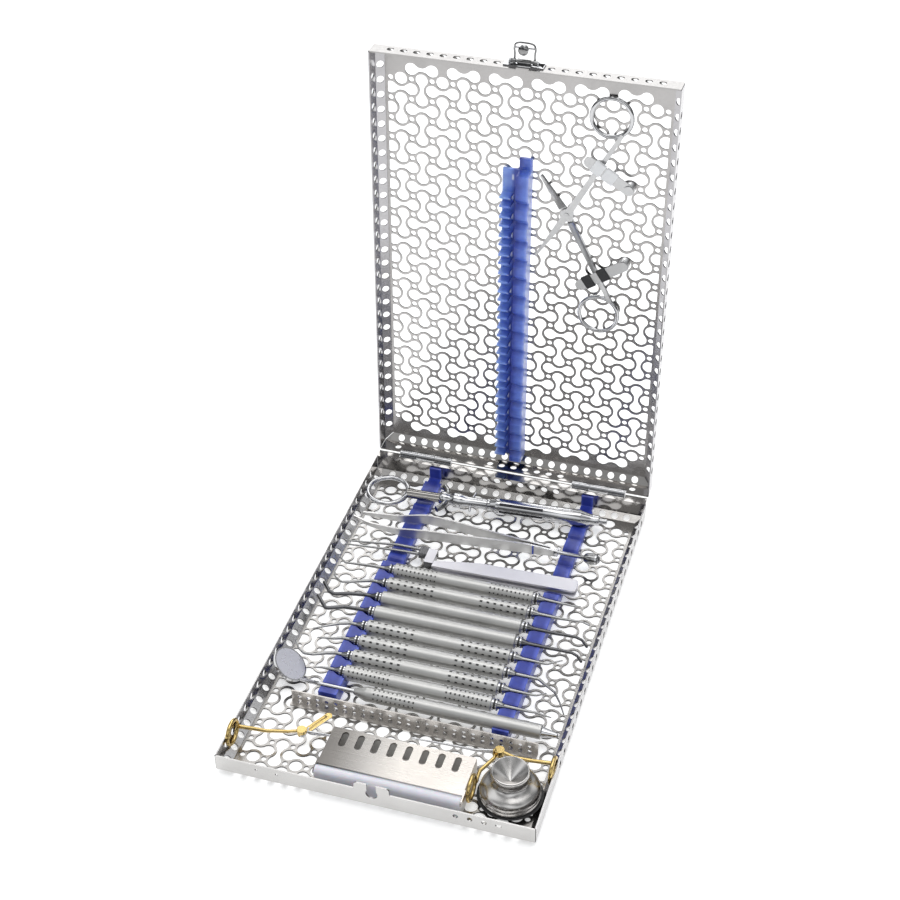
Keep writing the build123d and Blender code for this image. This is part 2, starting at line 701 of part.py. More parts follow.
# The lid's rail: a strip on the panel with a comb of fins on one side and a notched ridge on the other.
lid_rail_start = lid_wall_offset + bevel_run + lid_rail_gap
with BuildPart() as lid_rail:
    with BuildSketch(lid_frame.offset(lid_inside)):
        add(flat_box(*lid_rail_x, lid_rail_start, lid_rail_end))
        with Locations((lid_rail_x[1] - tail_width / 2, lid_rail_end)):
            Rectangle(tail_width, 2 * tail_width)
    extrude(amount=lid_rail_base)
    ridge_low = lid_rail_x[1] - lid_rail_ridge
    with BuildSketch(lid_frame.offset(lid_inside + lid_rail_base)):
        add(flat_box(ridge_low, lid_rail_x[1], lid_rail_start, lid_rail_end))
    extrude(amount=lid_rail_depth - lid_rail_base)
    fin_count = int((lid_rail_end - lid_rail_start) / seat_pitch)
    fin_places = [lid_rail_start + (n + 0.5) * seat_pitch for n in range(fin_count)]
    fin_middle = lid_rail_x[0] + fin_length / 2
    with BuildSketch(lid_section(lid_rail_x[1] + 1)):
        for y in fin_places:
            with Locations((y, lid_inside + lid_rail_depth)):
                RegularPolygon(radius=ridge_notch, side_count=4)
    extrude(amount=-lid_rail_ridge - 2, mode=Mode.SUBTRACT)
    with BuildSketch(lid_frame.offset(lid_inside + lid_rail_base)):
        for y in fin_places:
            with Locations((fin_middle, y - fin_spread), (fin_middle, y + fin_spread)):
                Rectangle(fin_length, fin_thickness)
    extrude(amount=lid_rail_depth - lid_rail_base - fin_drop)
finish(lid_rail.part, "lid_rail")

# ---- Double-ended instruments ----------------------------------------------------------
# Each tip is a path in plan: x, and y from the instrument's axis. Then the radius at its end.
left_tips = [
    ([(-66, -0.5), (-79, -1.8), (-85, 3.2)], 0.45),
    ([(-63, -1.8), (-70, -4.6), (-75.5, -6.2), (-80.5, -2.8), (-83.5, 3.5)], 0.45),
    ([(-66, -1.5), (-76, -4.6), (-80, -2.8), (-85.5, 4)], 1.15),
    ([(-66, -0.6), (-76.5, -4.8), (-85, 4.6)], 1.15),
    ([(-64, -2.2), (-71.5, -6.6), (-78, -10.5)], 0.45),
    ([(-63, -2), (-72.5, -3.6)], 0.4),
    ([(-63, -1.6), (-70, -4.8), (-75.5, -5.4), (-80, -2.4), (-84, 3.5)], 0.45),
    ([(-61.5, -0.3), (-66, -1.4)], 0.4),
]
right_tips = [
    ([(69, -0.3), (74.5, 0.6)], 0.4),
    ([(70, 0.4), (78.5, 1), (83.5, -1)], 0.45),
    ([(70, 0.3), (78, 0.4), (82, -1), (86.3, -6)], 0.8),
    ([(70, 0.2), (79, 0), (82.5, -1.6), (86, -5.8)], 0.8),
    ([(67.5, 0.4), (70.5, 2.6), (75, 5.6)], 0.4),
    ([(69, -2.4), (77, -7.6), (82, -15), (86.3, -23)], 0.4),
    ([(67.5, 0.3), (70.5, 2.2), (72.5, 3.6)], 0.4),
    ([(70, 0.3), (80, -1)], 0.4),
]
smooth_handles = (2, 3)


def instrument_tip(y, side, points, end_radius):
    """A conical socket outside the handle's collar, and a tapering bent shank that grows out of it."""
    collar_end = collar_right if side > 0 else collar_left
    socket_end = socket_right if side > 0 else socket_left
    straight_end = tip_straight[1] if side > 0 else tip_straight[0]
    with BuildPart() as tip:
        with BuildSketch(Plane.XZ.offset(-y)):
            with BuildLine():
                Polyline(
                    (collar_end, axis_height),
                    (collar_end, axis_height + collar_radius - 0.9),
                    (socket_end, axis_height + shank_radius),
                    (socket_end, axis_height),
                    close=True,
                )
            make_face()
        revolve(axis=Axis((0, y, axis_height), (1, 0, 0)))
        with BuildLine(Plane.XY.offset(axis_height)) as path:
            FilletPolyline(
                (socket_end - side, y),
                (straight_end, y),
                *[(x, y + dy) for x, dy in points],
                radius=2.5,
            )
        shank = path.wire()
        with BuildSketch(shank ^ 0):
            Circle(shank_radius)
        with BuildSketch(shank ^ 1):
            Circle(end_radius)
        sweep(path=shank, multisection=True)
    return tip.part


for n in range(instrument_count):
    axis = Axis((0, seat_y(n), axis_height), (1, 0, 0))
    with BuildPart() as handle:
        with BuildSketch(Plane.XZ.offset(-seat_y(n))):
            with BuildLine():
                Polyline(
                    (collar_left, axis_height),
                    (collar_left, axis_height + collar_radius),
                    (handle_left, axis_height + collar_radius),
                    (handle_left, axis_height + handle_radius),
                    (handle_right, axis_height + handle_radius),
                    (handle_right, axis_height + collar_radius),
                    (collar_right, axis_height + collar_radius),
                    (collar_right, axis_height),
                    close=True,
                )
            make_face()
            if n not in smooth_handles:
                for step in range(knurl_rings):
                    inset = knurl_margin + step * knurl_pitch
                    for x in (handle_left + inset, handle_right - inset):
                        with Locations((x, axis_height + handle_radius)):
                            Rectangle(knurl_pitch / 3, 2 * knurl_depth, mode=Mode.SUBTRACT)
        revolve(axis=axis)
        if n in smooth_handles:
            ends = handle.edges().filter_by(GeomType.CIRCLE).group_by(SortBy.RADIUS)[-1]
            fillet(ends, radius=handle_round)
    finish(handle.part, f"instrument_{n + 1}_handle")
    with BuildPart() as tips:
        add(instrument_tip(seat_y(n), -1, *left_tips[n]))
        add(instrument_tip(seat_y(n), 1, *right_tips[n]))
    finish(tips.part, f"instrument_{n + 1}_tips")

# ---- Mouth mirror ----------------------------------------------------------------------
mirror_neck = (mirror_handle[0] - mirror_taper, left_rail[0] - 1.5)
with BuildPart() as mirror_handle_part:
    with BuildSketch(Plane.XZ.offset(-mirror_y)):
        with BuildLine():
            Polyline(
                (mirror_neck[0], axis_height),
                (mirror_neck[0], axis_height + shank_radius + 0.5),
                (mirror_handle[0], axis_height + mirror_radius),
                (mirror_handle[1], axis_height + mirror_radius),
                (mirror_handle[1] + mirror_chamfer, axis_height + mirror_radius - mirror_chamfer),
                (mirror_handle[1] + mirror_cone[0], axis_height + mirror_cone[1]),
                (mirror_handle[1] + mirror_cone[0], axis_height),
                close=True,
            )
        make_face()
    revolve(axis=Axis((0, mirror_y, axis_height), (1, 0, 0)))
finish(mirror_handle_part.part, "mirror_handle")

# The head is a shallow cup that faces its handle and upwards; the glass lies in it.
head_direction = Vector(mirror_facing).normalized()
head_plane = Plane(origin=mirror_head, x_dir=(1, -0.25, 0), z_dir=head_direction)
with BuildPart() as mirror_head_part:
    with BuildSketch(head_plane.offset(-mirror_cup)):
        Circle(mirror_head_radius)
    extrude(amount=mirror_cup)
    fillet(mirror_head_part.edges().group_by(Axis(mirror_head, head_direction))[0], radius=mirror_cup_round)
    rim_point = head_plane.from_local_coords((mirror_head_radius - mirror_stem_inset, 0, -mirror_cup / 2))
    with BuildLine() as stem:
        FilletPolyline(
            (mirror_neck[0], mirror_y, axis_height),
            (mirror_neck[1], mirror_y, axis_height),
            tuple(rim_point),
            radius=mirror_stem_bend,
        )
    with BuildSketch(stem.wire() ^ 0):
        Circle(shank_radius)
    sweep(path=stem.wire())
    with BuildSketch(head_plane.offset(-mirror_glass_thickness)):
        Circle(mirror_head_radius - mirror_rim)
    extrude(amount=mirror_glass_thickness, mode=Mode.SUBTRACT)
finish(mirror_head_part.part, "mirror_head")

with BuildPart() as mirror_glass:
    with BuildSketch(head_plane.offset(-mirror_glass_thickness)):
        Circle(mirror_head_radius - mirror_rim - fit_clearance)
    extrude(amount=mirror_glass_thickness)
finish(mirror_glass.part, "mirror_glass")

# ---- Divider ---------------------------------------------------------------------------
with BuildPart() as divider:
    with BuildSketch(Plane.XY.offset(floor_top)):
        add(flat_box(*divider_x, divider_y, divider_y + sheet))
    extrude(amount=divider_top - floor_top)
    with BuildSketch(Plane.XY.offset(floor_top)):
        add(flat_box(*divider_x, divider_y - divider_foot, divider_y))
    extrude(amount=sheet)
    count = int((divider_x[1] - divider_x[0]) / divider_pitch)
    with BuildSketch(Plane.XZ.offset(-divider_y - 2 * sheet)):
        with Locations((sum(divider_x) / 2, sum(divider_rows) / 2)):
            with GridLocations(divider_pitch, divider_rows[1] - divider_rows[0], count, 2):
                Circle(divider_hole / 2)
    extrude(amount=4 * sheet, mode=Mode.SUBTRACT)
finish(divider.part, "divider")

# ---- Instrument box with a slotted cover -----------------------------------------------
cover_bottom = box_top - box_cover_thickness
box_axis = (box_front + box_bar_radius, cover_bottom - box_bar_drop)
cover_front = box_axis[0] + box_bar_radius + box_bar_gap
ear_end = cover_front + box_ear_length
with BuildPart() as box_body:
    with BuildSketch(Plane.YZ.offset(box_x[0])):
        with BuildLine():
            Polyline(
                (box_front, cover_bottom),
                (box_front, floor_top + box_chamfer),
                (box_front + box_chamfer, floor_top),
                (box_back, floor_top),
                (box_back, cover_bottom),
                close=True,
            )
        make_face()
        with Locations((box_front + box_bar_radius / 2, cover_bottom)):
            Rectangle(box_bar_radius, 2 * box_bar_drop, mode=Mode.SUBTRACT)
        with Locations(box_axis):
            Circle(box_bar_radius)
    extrude(amount=box_x[1] - box_x[0])
    with BuildSketch(Plane.XY.offset(floor_top + box_wall)):
        add(flat_box(box_x[0] + box_wall, box_x[1] - box_wall, cover_front + box_wall, box_back - box_wall))
    extrude(amount=box_top, mode=Mode.SUBTRACT)
    with BuildSketch(Plane.YZ.offset(box_x[0] - 1)):
        with Locations(box_axis):
            Circle(box_pin_radius + fit_clearance)
    extrude(amount=box_x[1] - box_x[0] + 2, mode=Mode.SUBTRACT)
finish(box_body.part, "box_body")

with BuildPart() as box_cover:
    with BuildSketch(Plane.XY.offset(cover_bottom)):
        add(flat_box(box_x[0], box_x[1], cover_front, box_back))
        slot_middle = (cover_front + box_back) / 2 + box_slot_shift
        slot_start = box_x[0] + box_slot_start
        with Locations(*[(slot_start + n * box_slot_pitch, slot_middle) for n in range(box_slot_count)]):
            SlotOverall(*box_slot, rotation=90, mode=Mode.SUBTRACT)
    extrude(amount=box_cover_thickness)
    for x, side in ((box_x[0] - fit_clearance, -1), (box_x[1] + fit_clearance, 1)):
        with BuildSketch(Plane.YZ.offset(x)):
            with Locations(box_axis):
                Circle(box_ear_radius)
            add(flat_box(box_axis[0], ear_end, box_axis[1] - box_ear_drop, box_top))
        extrude(amount=side * sheet)
        with BuildSketch(Plane.XY.offset(cover_bottom)):
            add(flat_box(*sorted((x - side * box_ear_lap, x + side * sheet)), cover_front, ear_end))
        extrude(amount=box_cover_thickness)
    with BuildSketch(Plane.YZ.offset(box_x[0] - sheet)):
        with Locations(box_axis):
            Circle(box_pin_radius)
    extrude(amount=box_x[1] - box_x[0] + 2 * sheet)
finish(box_cover.part, "box_cover")

# ---- Mixing well on its rubber ring ----------------------------------------------------
ring_top = floor_top + well_ring_height
well_axis = Axis((*well_place, 0), (0, 0, 1))
well_section = Plane(origin=(*well_place, 0), x_dir=(1, 0, 0), z_dir=(0, -1, 0))
with BuildPart() as well_ring:
    with BuildSketch(well_section):
        with BuildLine():
            Polyline(
                (0, floor_top),
                (well_ring_radius - well_ring_undercut, floor_top),
                (well_ring_radius, ring_top),
                (0, ring_top),
                close=True,
            )
        make_face()
    revolve(axis=well_axis)
finish(well_ring.part, "well_ring")

with BuildPart() as well:
    with BuildSketch(well_section):
        with BuildLine():
            foot = Line((0, ring_top), (well_radius, ring_top))
            edge = Line(foot @ 1, (well_radius, ring_top + well_foot_edge))
            shoulder = (well_radius - well_shoulder[0], ring_top + well_shoulder[1])
            bell = Spline(edge @ 1, shoulder, (well_neck, well_top - well_dish))
            stem = Line(bell @ 1, (well_rim, well_top - well_lip))
            lip = Line(stem @ 1, (well_rim - well_lip_slope, well_top))
            brim = Line(lip @ 1, (well_rim - well_brim, well_top))
            dish = Line(brim @ 1, (0, well_top - well_dish))
            Line(dish @ 1, foot @ 0)
        make_face()
    revolve(axis=well_axis)
finish(well.part, "well")

# ---- Cartridge syringe -----------------------------------------------------------------
ring_centre = turned(syringe_frame, thumb_ring_x, 0, 0)
with BuildPart() as syringe_plunger:
    with BuildSketch(Plane(ring_centre.origin, x_dir=ring_centre.x_dir, z_dir=-ring_centre.y_dir)):
        with Locations((thumb_ring_radius, 0)):
            Circle(thumb_ring_wire)
    revolve(axis=Axis(ring_centre.origin, (0, 0, 1)))
    with BuildSketch(turned(syringe_section, 0, 0, thumb_ring_x + thumb_ring_radius)):
        Circle(plunger_radius)
    extrude(amount=plunger_end - thumb_ring_x - thumb_ring_radius)
finish(syringe_plunger.part, "syringe_plunger")

hub_end = barrel_x[1] + sum(hub_length)
with BuildPart() as syringe_barrel:
    with BuildSketch(Plane(syringe_frame.origin, x_dir=syringe_frame.x_dir, z_dir=-syringe_frame.y_dir)):
        with BuildLine():
            Polyline(
                (grip_x[0], 0),
                (grip_x[0], grip_edge),
                (grip_x[0] + 3, grip_radius),
                (grip_x[1] - 3, grip_waist),
                (grip_x[1], grip_radius),
                (grip_x[1] + 4, grip_radius),
                (grip_x[1] + 9, grip_waist),
                (barrel_x[0] - neck_length, grip_waist),
                (barrel_x[0] - 2, barrel_radius),
                (barrel_x[1], barrel_radius),
                (barrel_x[1] + hub_length[0], hub_radius),
                (hub_end, hub_radius),
                (hub_end, needle_socket[1]),
                (hub_end + needle_socket[0], needle_socket[1]),
                (hub_end + needle_socket[0], 0),
                close=True,
            )
        make_face()
    revolve(axis=Axis(syringe_frame.origin, syringe_frame.x_dir))
    with BuildSketch(turned(syringe_frame, grip_x[0] + 4, 0, -bow_size[1] / 2)):
        SlotOverall(2 * grip_reach, bow_size[0], rotation=90)
    extrude(amount=bow_size[1])
    with BuildSketch(turned(syringe_section, 0, 0, grip_x[0] - 1)):
        Circle(plunger_radius + fit_clearance)
    extrude(amount=barrel_x[1] - bore_floor - grip_x[0] + 1, mode=Mode.SUBTRACT)
    with BuildSketch(turned(syringe_frame, (barrel_x[0] + barrel_x[1]) / 2, 0, 0)):
        SlotOverall(barrel_x[1] - barrel_x[0] - 2 * window_margin, window_width)
    extrude(amount=2 * barrel_radius, both=True, mode=Mode.SUBTRACT)
finish(syringe_barrel.part, "syringe_barrel")

# ---- Tweezers with a heel knob ---------------------------------------------------------
# The legs stand on edge: a strip bent in plan, then trimmed to a taper towards the tips.
leg_bottom = rail_low_top + touch_gap
leg_middle = leg_bottom + leg_height / 2
heel_place = (front_leg[-1][0], (front_leg[-1][1] + back_leg[-1][1]) / 2)
with BuildPart() as probe_tweezers_legs:
    with BuildSketch(Plane.XY.offset(leg_bottom)):
        with BuildLine():
            FilletPolyline(*front_leg, radius=leg_bend)
        trace(line_width=leg_thickness)
        with BuildLine():
            FilletPolyline(*back_leg, radius=leg_bend)
        trace(line_width=leg_thickness)
        with Locations(heel_place):
            Rectangle(heel_block, back_leg[-1][1] - front_leg[-1][1] + leg_thickness)
    extrude(amount=leg_height)
    with BuildSketch(Plane.XZ.offset(-tray_width)):
        with BuildLine():
            Polyline(
                (front_leg[0][0] - 2, leg_middle - leg_tip / 2),
                (leg_taper[0], leg_bottom),
                (leg_taper[1], leg_bottom),
                (heel_place[0] + 4, leg_bottom + leg_heel_cut),
                (heel_place[0] + 4, leg_bottom + leg_height - leg_heel_cut),
                (leg_taper[1], leg_bottom + leg_height),
                (leg_taper[0], leg_bottom + leg_height),
                (front_leg[0][0] - 2, leg_middle + leg_tip / 2),
                close=True,
            )
        make_face()
    extrude(amount=2 * tray_width, both=True, mode=Mode.INTERSECT)
finish(probe_tweezers_legs.part, "probe_tweezers_legs")

with BuildPart() as probe_tweezers_heel:
    with BuildSketch(Plane.YZ.offset(heel_place[0] + heel_block / 2)):
        with Locations((heel_place[1], leg_middle)):
            Circle(heel_neck)
    extrude(amount=heel_x - heel_place[0] - heel_block / 2)
    with Locations((heel_x, heel_place[1], leg_middle)):
        Sphere(heel_radius)
finish(probe_tweezers_heel.part, "probe_tweezers_heel")

# ---- Tweezers with flat grips ----------------------------------------------------------
grip_layers = (leg_bottom, leg_bottom + flat_thickness + flat_gap)
joint_top = grip_layers[1] + flat_thickness
with BuildPart() as flat_tweezers_grips:
    for z in grip_layers:
        with BuildSketch(Plane.XY.offset(z)):
            with BuildLine():
                Polyline(*flat_grip, close=True)
            flat = make_face()
            fillet(flat.vertices().group_by(Axis.X)[-1], radius=flat_corner)
        extrude(amount=flat_thickness)
    with BuildSketch(Plane.XY.offset(leg_bottom)):
        heel_low = flat_grip[1][0] - flat_spacer[0]
        inside = (flat_grip[1][1] + flat_spacer[2], flat_grip[2][1] - flat_spacer[2])
        add(flat_box(heel_low, heel_low + flat_spacer[1], *inside))
    extrude(amount=joint_top - leg_bottom)
finish(flat_tweezers_grips.part, "flat_tweezers_grips")

joint_back = flat_grip[0][0] - flat_joint[0]
prong_root = joint_back - flat_neck[0]
with BuildPart() as flat_tweezers_joint:
    with BuildSketch(Plane.XY.offset(leg_bottom)):
        add(flat_box(joint_back, flat_grip[0][0], *flat_joint_y))
    extrude(amount=joint_top - leg_bottom + flat_joint[1])
    with BuildSketch(Plane.XY.offset(leg_bottom)):
        add(flat_box(prong_root, joint_back, *flat_neck_y))
    extrude(amount=joint_top - leg_bottom - flat_neck[1])
finish(flat_tweezers_joint.part, "flat_tweezers_joint")

with BuildPart() as flat_tweezers_prongs:
    for side, z in ((-1, leg_bottom + 1.5), (1, joint_top - 2.0)):
        with BuildLine(Plane.XY.offset(z)) as path:
            FilletPolyline(
                (prong_root, flat_prong_y + side * 1.4),
                (prong_root - prong_shoulder, flat_prong_y + side * 1.8 - 0.3),
                (flat_tip_x, flat_prong_y + side * 0.9 - 4.5),
                radius=10,
            )
        prong = path.wire()
        with BuildSketch(prong ^ 0):
            Circle(prong_radius)
        with BuildSketch(prong ^ 1):
            Circle(prong_tip)
        sweep(path=prong, multisection=True)
    add(flat_tweezers_joint.part, mode=Mode.SUBTRACT)
finish(flat_tweezers_prongs.part, "flat_tweezers_prongs")

# ---- Two pairs of gold-handled scissors ------------------------------------------------
def scissor_half(points, centre_z, boss, ring=None):
    """A round bar bent in plan, with a boss at the joint and, where given, an upright finger ring."""
    with BuildPart() as half:
        with BuildLine(Plane.XY.offset(centre_z)) as path:
            FilletPolyline(*points, radius=scissor_bend)
        bar = path.wire()
        with BuildSketch(bar ^ 0):
            Circle(scissor_tip)
        with BuildSketch(bar ^ 1):
            Circle(scissor_bar)
        sweep(path=bar, multisection=True)
        with BuildSketch(Plane.XY.offset(boss[2])):
            with Locations(boss[:2]):
                Circle(scissor_boss)
        extrude(amount=scissor_layer)
        if ring:
            with BuildSketch(Plane.XZ.offset(-ring[1])):
                with Locations((ring[0], ring[2] + scissor_ring)):
                    Circle(scissor_bar)
            revolve(axis=Axis(ring, (1, 0, 0)))
    return half.part


upper_bar = scissor_z + scissor_layer / 2
lower_bar = scissor_z - scissor_layer / 2
left_ring = (-left_ring_x, left_ring_y, ring_height)
right_ring = (left_ring_x, right_ring_y, ring_height)
inner_ring = (inner_ring_x, inner_ring_y, ring_height)
ring_reach = sqrt(scissor_ring ** 2 - (ring_height - scissor_z) ** 2)
with BuildPart() as left_scissors_outer:
    path = [(-38.2, -104.4), left_joint, (-62, -108.5), (-74, -111.5), (-82, -112)]
    path += [(left_ring[0], left_ring[1] + ring_reach)]
    add(scissor_half(path, upper_bar, (*left_joint, scissor_z), left_ring))
finish(left_scissors_outer.part, "left_scissors_outer")

with BuildPart() as left_scissors_inner:
    path = [(-38.2, -103.2), left_joint, (-51, -99), (-46, -90.6)]
    add(scissor_half(path, lower_bar, (*left_joint, scissor_z - scissor_layer)))
    paddle_bottom = lower_bar - scissor_paddle[2] / 2
    with BuildSketch(turned(Plane.XY, *paddle_place[:2], paddle_bottom, paddle_place[2])):
        SlotOverall(*scissor_paddle[:2])
    extrude(amount=scissor_paddle[2])
finish(left_scissors_inner.part, "left_scissors_inner")

with BuildPart() as right_scissors_outer:
    path = [(8, -93.4), (24, -92.4), (45, -91.6), right_joint, (68, -91), (77, -90.6)]
    path += [(right_ring[0], right_ring[1] + ring_reach)]
    add(scissor_half(path, upper_bar, (*right_joint, scissor_z), right_ring))
finish(right_scissors_outer.part, "right_scissors_outer")

with BuildPart() as right_scissors_inner:
    path = [(8, -91.6), (24, -90.8), (45, -90.2), right_joint, (56, -94), (51.5, -104)]
    path += [(inner_ring[0], inner_ring[1] + ring_reach)]
    add(scissor_half(path, lower_bar, (*right_joint, scissor_z - scissor_layer), inner_ring))
finish(right_scissors_inner.part, "right_scissors_inner")

# ---- Forceps in the lid and the clips that hold them ------------------------------------
forceps_floor = lid_inside + touch_gap
half_layer = forceps_thickness / 2
pivot = (forceps_pivot[0], lid_lattice + forceps_pivot[1])


def tapered_strip(start, end, start_half, end_half):
    """A straight strip from start to end, given by half its width at each."""
    length = hypot(end[0] - start[0], end[1] - start[1])
    across = ((start[1] - end[1]) / length, (end[0] - start[0]) / length)
    with BuildSketch() as strip:
        with BuildLine():
            Polyline(
                (start[0] + across[0] * start_half, start[1] + across[1] * start_half),
                (end[0] + across[0] * end_half, end[1] + across[1] * end_half),
                (end[0] - across[0] * end_half, end[1] - across[1] * end_half),
                (start[0] - across[0] * start_half, start[1] - across[1] * start_half),
                close=True,
            )
        make_face()
    return strip.sketch


def forceps_half(ring, tip, low_layer, lean):
    """One half: ring, shank, half-thick joint disc and jaw. The low layer lies nearest the panel."""
    own = forceps_floor if low_layer else forceps_floor + half_layer + fit_clearance
    other = forceps_floor + half_layer - fit_clearance if low_layer else forceps_floor - 1
    ring_y = lid_lattice + ring[1]
    meeting = atan2(pivot[1] - ring_y, pivot[0] - ring[0]) + radians(lean)
    shank_end = (ring[0] + forceps_ring * cos(meeting), ring_y + forceps_ring * sin(meeting))
    with BuildPart() as half:
        with BuildSketch(lid_frame.offset(forceps_floor)):
            add(tapered_strip(pivot, shank_end, *forceps_shank))
            add(tapered_strip(pivot, (tip[0], lid_lattice + tip[1]), *forceps_jaw))
        extrude(amount=forceps_thickness)
        with BuildSketch(lid_frame.offset(other)):
            with Locations(pivot):
                Circle(forceps_boss + forceps_relief)
        extrude(amount=half_layer + 1, mode=Mode.SUBTRACT)
        with BuildSketch(lid_frame.offset(own)):
            with Locations(pivot):
                Circle(forceps_boss)
        extrude(amount=half_layer - fit_clearance)
        with BuildSketch(lid_section(ring[0])):
            with Locations((ring_y + forceps_ring, forceps_floor + half_layer)):
                Circle(half_layer)
        revolve(axis=Axis(lid_frame.from_local_coords((ring[0], ring_y, 0)), lid_frame.z_dir))
        if low_layer:
            with BuildSketch(lid_frame.offset(forceps_floor)):
                with Locations(pivot):
                    Circle(forceps_pin)
            extrude(amount=forceps_thickness + forceps_rivet)
        else:
            with BuildSketch(lid_frame.offset(forceps_floor)):
                with Locations(pivot):
                    Circle(forceps_pin + fit_clearance)
            extrude(amount=2 * forceps_thickness, mode=Mode.SUBTRACT)
    return half.part


with BuildPart() as forceps_upper_half:
    add(forceps_half(upper_ring, lower_tip, False, forceps_lean))
finish(forceps_upper_half.part, "forceps_upper_half")

with BuildPart() as forceps_lower_half:
    add(forceps_half(lower_ring, upper_tip, True, -forceps_lean))
finish(forceps_lower_half.part, "forceps_lower_half")

# Each clip is a spring strip that turns on a rivet; it passes over a shank of the forceps.
clip_floor = lid_inside + clip_height


def clip_place(rivet, free_end):
    """A plane on the clip's underside with its x axis from the rivet to the free end, and the length."""
    end = (free_end[0], lid_lattice + free_end[1])
    angle = degrees(atan2(end[1] - rivet[1], end[0] - rivet[0]))
    return turned(lid_frame, *rivet, clip_floor, angle), hypot(end[0] - rivet[0], end[1] - rivet[1])


def clip_strip(rivet, free_end):
    """The strip with its rivet hole."""
    place, length = clip_place(rivet, free_end)
    with BuildPart() as strip:
        with BuildSketch(place):
            with Locations((length / 2, 0)):
                SlotOverall(length + clip_width, clip_width)
            Circle(rivet_radius + fit_clearance, mode=Mode.SUBTRACT)
        extrude(amount=clip_thickness)
    return strip.part


def clip_sleeve(rivet, free_end, start, end):
    """A soft sleeve on the strip, from start to end measured from the rivet."""
    place = clip_place(rivet, free_end)[0]
    origin = place.from_local_coords((start, 0, clip_thickness / 2))
    with BuildPart() as sleeve:
        with BuildSketch(Plane(origin, x_dir=place.y_dir, z_dir=place.x_dir)):
            outside = (clip_width + 2 * sleeve_wall, clip_thickness + 2 * sleeve_wall)
            RectangleRounded(*outside, radius=sleeve_corner)
            Rectangle(clip_width, clip_thickness, mode=Mode.SUBTRACT)
        extrude(amount=end - start)
    return sleeve.part


with BuildPart() as upper_clip:
    add(clip_strip(upper_rivet, upper_clip_end))
finish(upper_clip.part, "upper_clip")

with BuildPart() as lower_clip:
    add(clip_strip(lower_rivet, lower_clip_end))
finish(lower_clip.part, "lower_clip")

with BuildPart() as upper_clip_sleeves:
    for start, end in upper_sleeves:
        add(clip_sleeve(upper_rivet, upper_clip_end, start, end))
finish(upper_clip_sleeves.part, "upper_clip_sleeves")

with BuildPart() as lower_clip_sleeves:
    for start, end in lower_sleeves:
        add(clip_sleeve(lower_rivet, lower_clip_end, start, end))
finish(lower_clip_sleeves.part, "lower_clip_sleeves")

with BuildPart() as clip_rivets:
    for x, y in (upper_rivet, lower_rivet):
        with BuildSketch(turned(lid_frame, x, y, -lid_height - sheet)):
            Circle(2 * rivet_radius)
        extrude(amount=sheet)
        with BuildSketch(turned(lid_frame, x, y, -lid_height)):
            Circle(rivet_radius)
        extrude(amount=sheet + clip_height + clip_thickness)
        with BuildSketch(turned(lid_frame, x, y, lid_inside)):
            Circle(clip_width / 2)
        extrude(amount=clip_height)
        with BuildSketch(turned(lid_frame, x, y, clip_floor + clip_thickness)):
            Circle(2 * rivet_radius)
        extrude(amount=sheet)
finish(clip_rivets.part, "clip_rivets")
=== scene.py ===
import json
from math import atan2, cos, degrees, pi, radians, sin

import bmesh
import bpy
from mathutils import Matrix, Vector
from mathutils.geometry import interpolate_bezier

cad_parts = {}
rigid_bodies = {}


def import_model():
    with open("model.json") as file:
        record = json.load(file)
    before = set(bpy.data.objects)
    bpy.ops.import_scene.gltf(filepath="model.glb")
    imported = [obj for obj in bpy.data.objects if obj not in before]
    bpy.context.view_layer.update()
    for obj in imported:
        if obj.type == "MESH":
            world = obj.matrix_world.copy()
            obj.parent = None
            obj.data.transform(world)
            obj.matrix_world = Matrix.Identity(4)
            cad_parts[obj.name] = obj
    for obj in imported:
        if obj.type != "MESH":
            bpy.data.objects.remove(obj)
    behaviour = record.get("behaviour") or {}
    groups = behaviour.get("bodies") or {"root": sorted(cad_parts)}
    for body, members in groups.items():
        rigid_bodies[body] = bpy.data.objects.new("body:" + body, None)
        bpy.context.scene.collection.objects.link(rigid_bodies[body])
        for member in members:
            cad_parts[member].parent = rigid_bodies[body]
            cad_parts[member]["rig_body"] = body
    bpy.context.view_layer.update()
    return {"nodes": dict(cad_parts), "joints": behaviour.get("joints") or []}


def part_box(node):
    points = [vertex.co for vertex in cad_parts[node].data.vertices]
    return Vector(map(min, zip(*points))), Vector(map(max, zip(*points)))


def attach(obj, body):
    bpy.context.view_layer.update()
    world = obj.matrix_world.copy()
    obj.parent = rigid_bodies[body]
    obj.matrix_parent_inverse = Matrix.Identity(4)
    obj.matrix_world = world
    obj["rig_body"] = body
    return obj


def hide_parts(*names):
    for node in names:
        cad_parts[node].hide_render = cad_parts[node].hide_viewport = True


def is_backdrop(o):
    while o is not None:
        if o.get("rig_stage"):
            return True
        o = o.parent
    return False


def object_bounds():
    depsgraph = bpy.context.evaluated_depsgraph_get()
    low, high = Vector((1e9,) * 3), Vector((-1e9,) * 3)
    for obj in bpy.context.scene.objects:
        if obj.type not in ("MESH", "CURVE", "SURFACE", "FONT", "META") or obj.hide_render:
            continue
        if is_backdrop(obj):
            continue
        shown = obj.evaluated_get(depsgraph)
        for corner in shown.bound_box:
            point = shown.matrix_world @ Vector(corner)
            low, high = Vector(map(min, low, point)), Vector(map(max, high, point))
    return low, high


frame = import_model()
nodes = frame["nodes"]


# ---- Stainless sheet: both trays and the divider ---------------------------------------
# Pressed 0.8 mm stainless sheet, perforated, then electropolished, which leaves it bright
# with a soft waviness. Floor, panel and walls are folded from one blank and meet at the folds.
def new_material(name):
    """An empty node material: returns it, its tree and its surface shader."""
    material = bpy.data.materials.new(name)
    material.use_nodes = True
    tree = material.node_tree
    return material, tree, tree.nodes["Principled BSDF"]


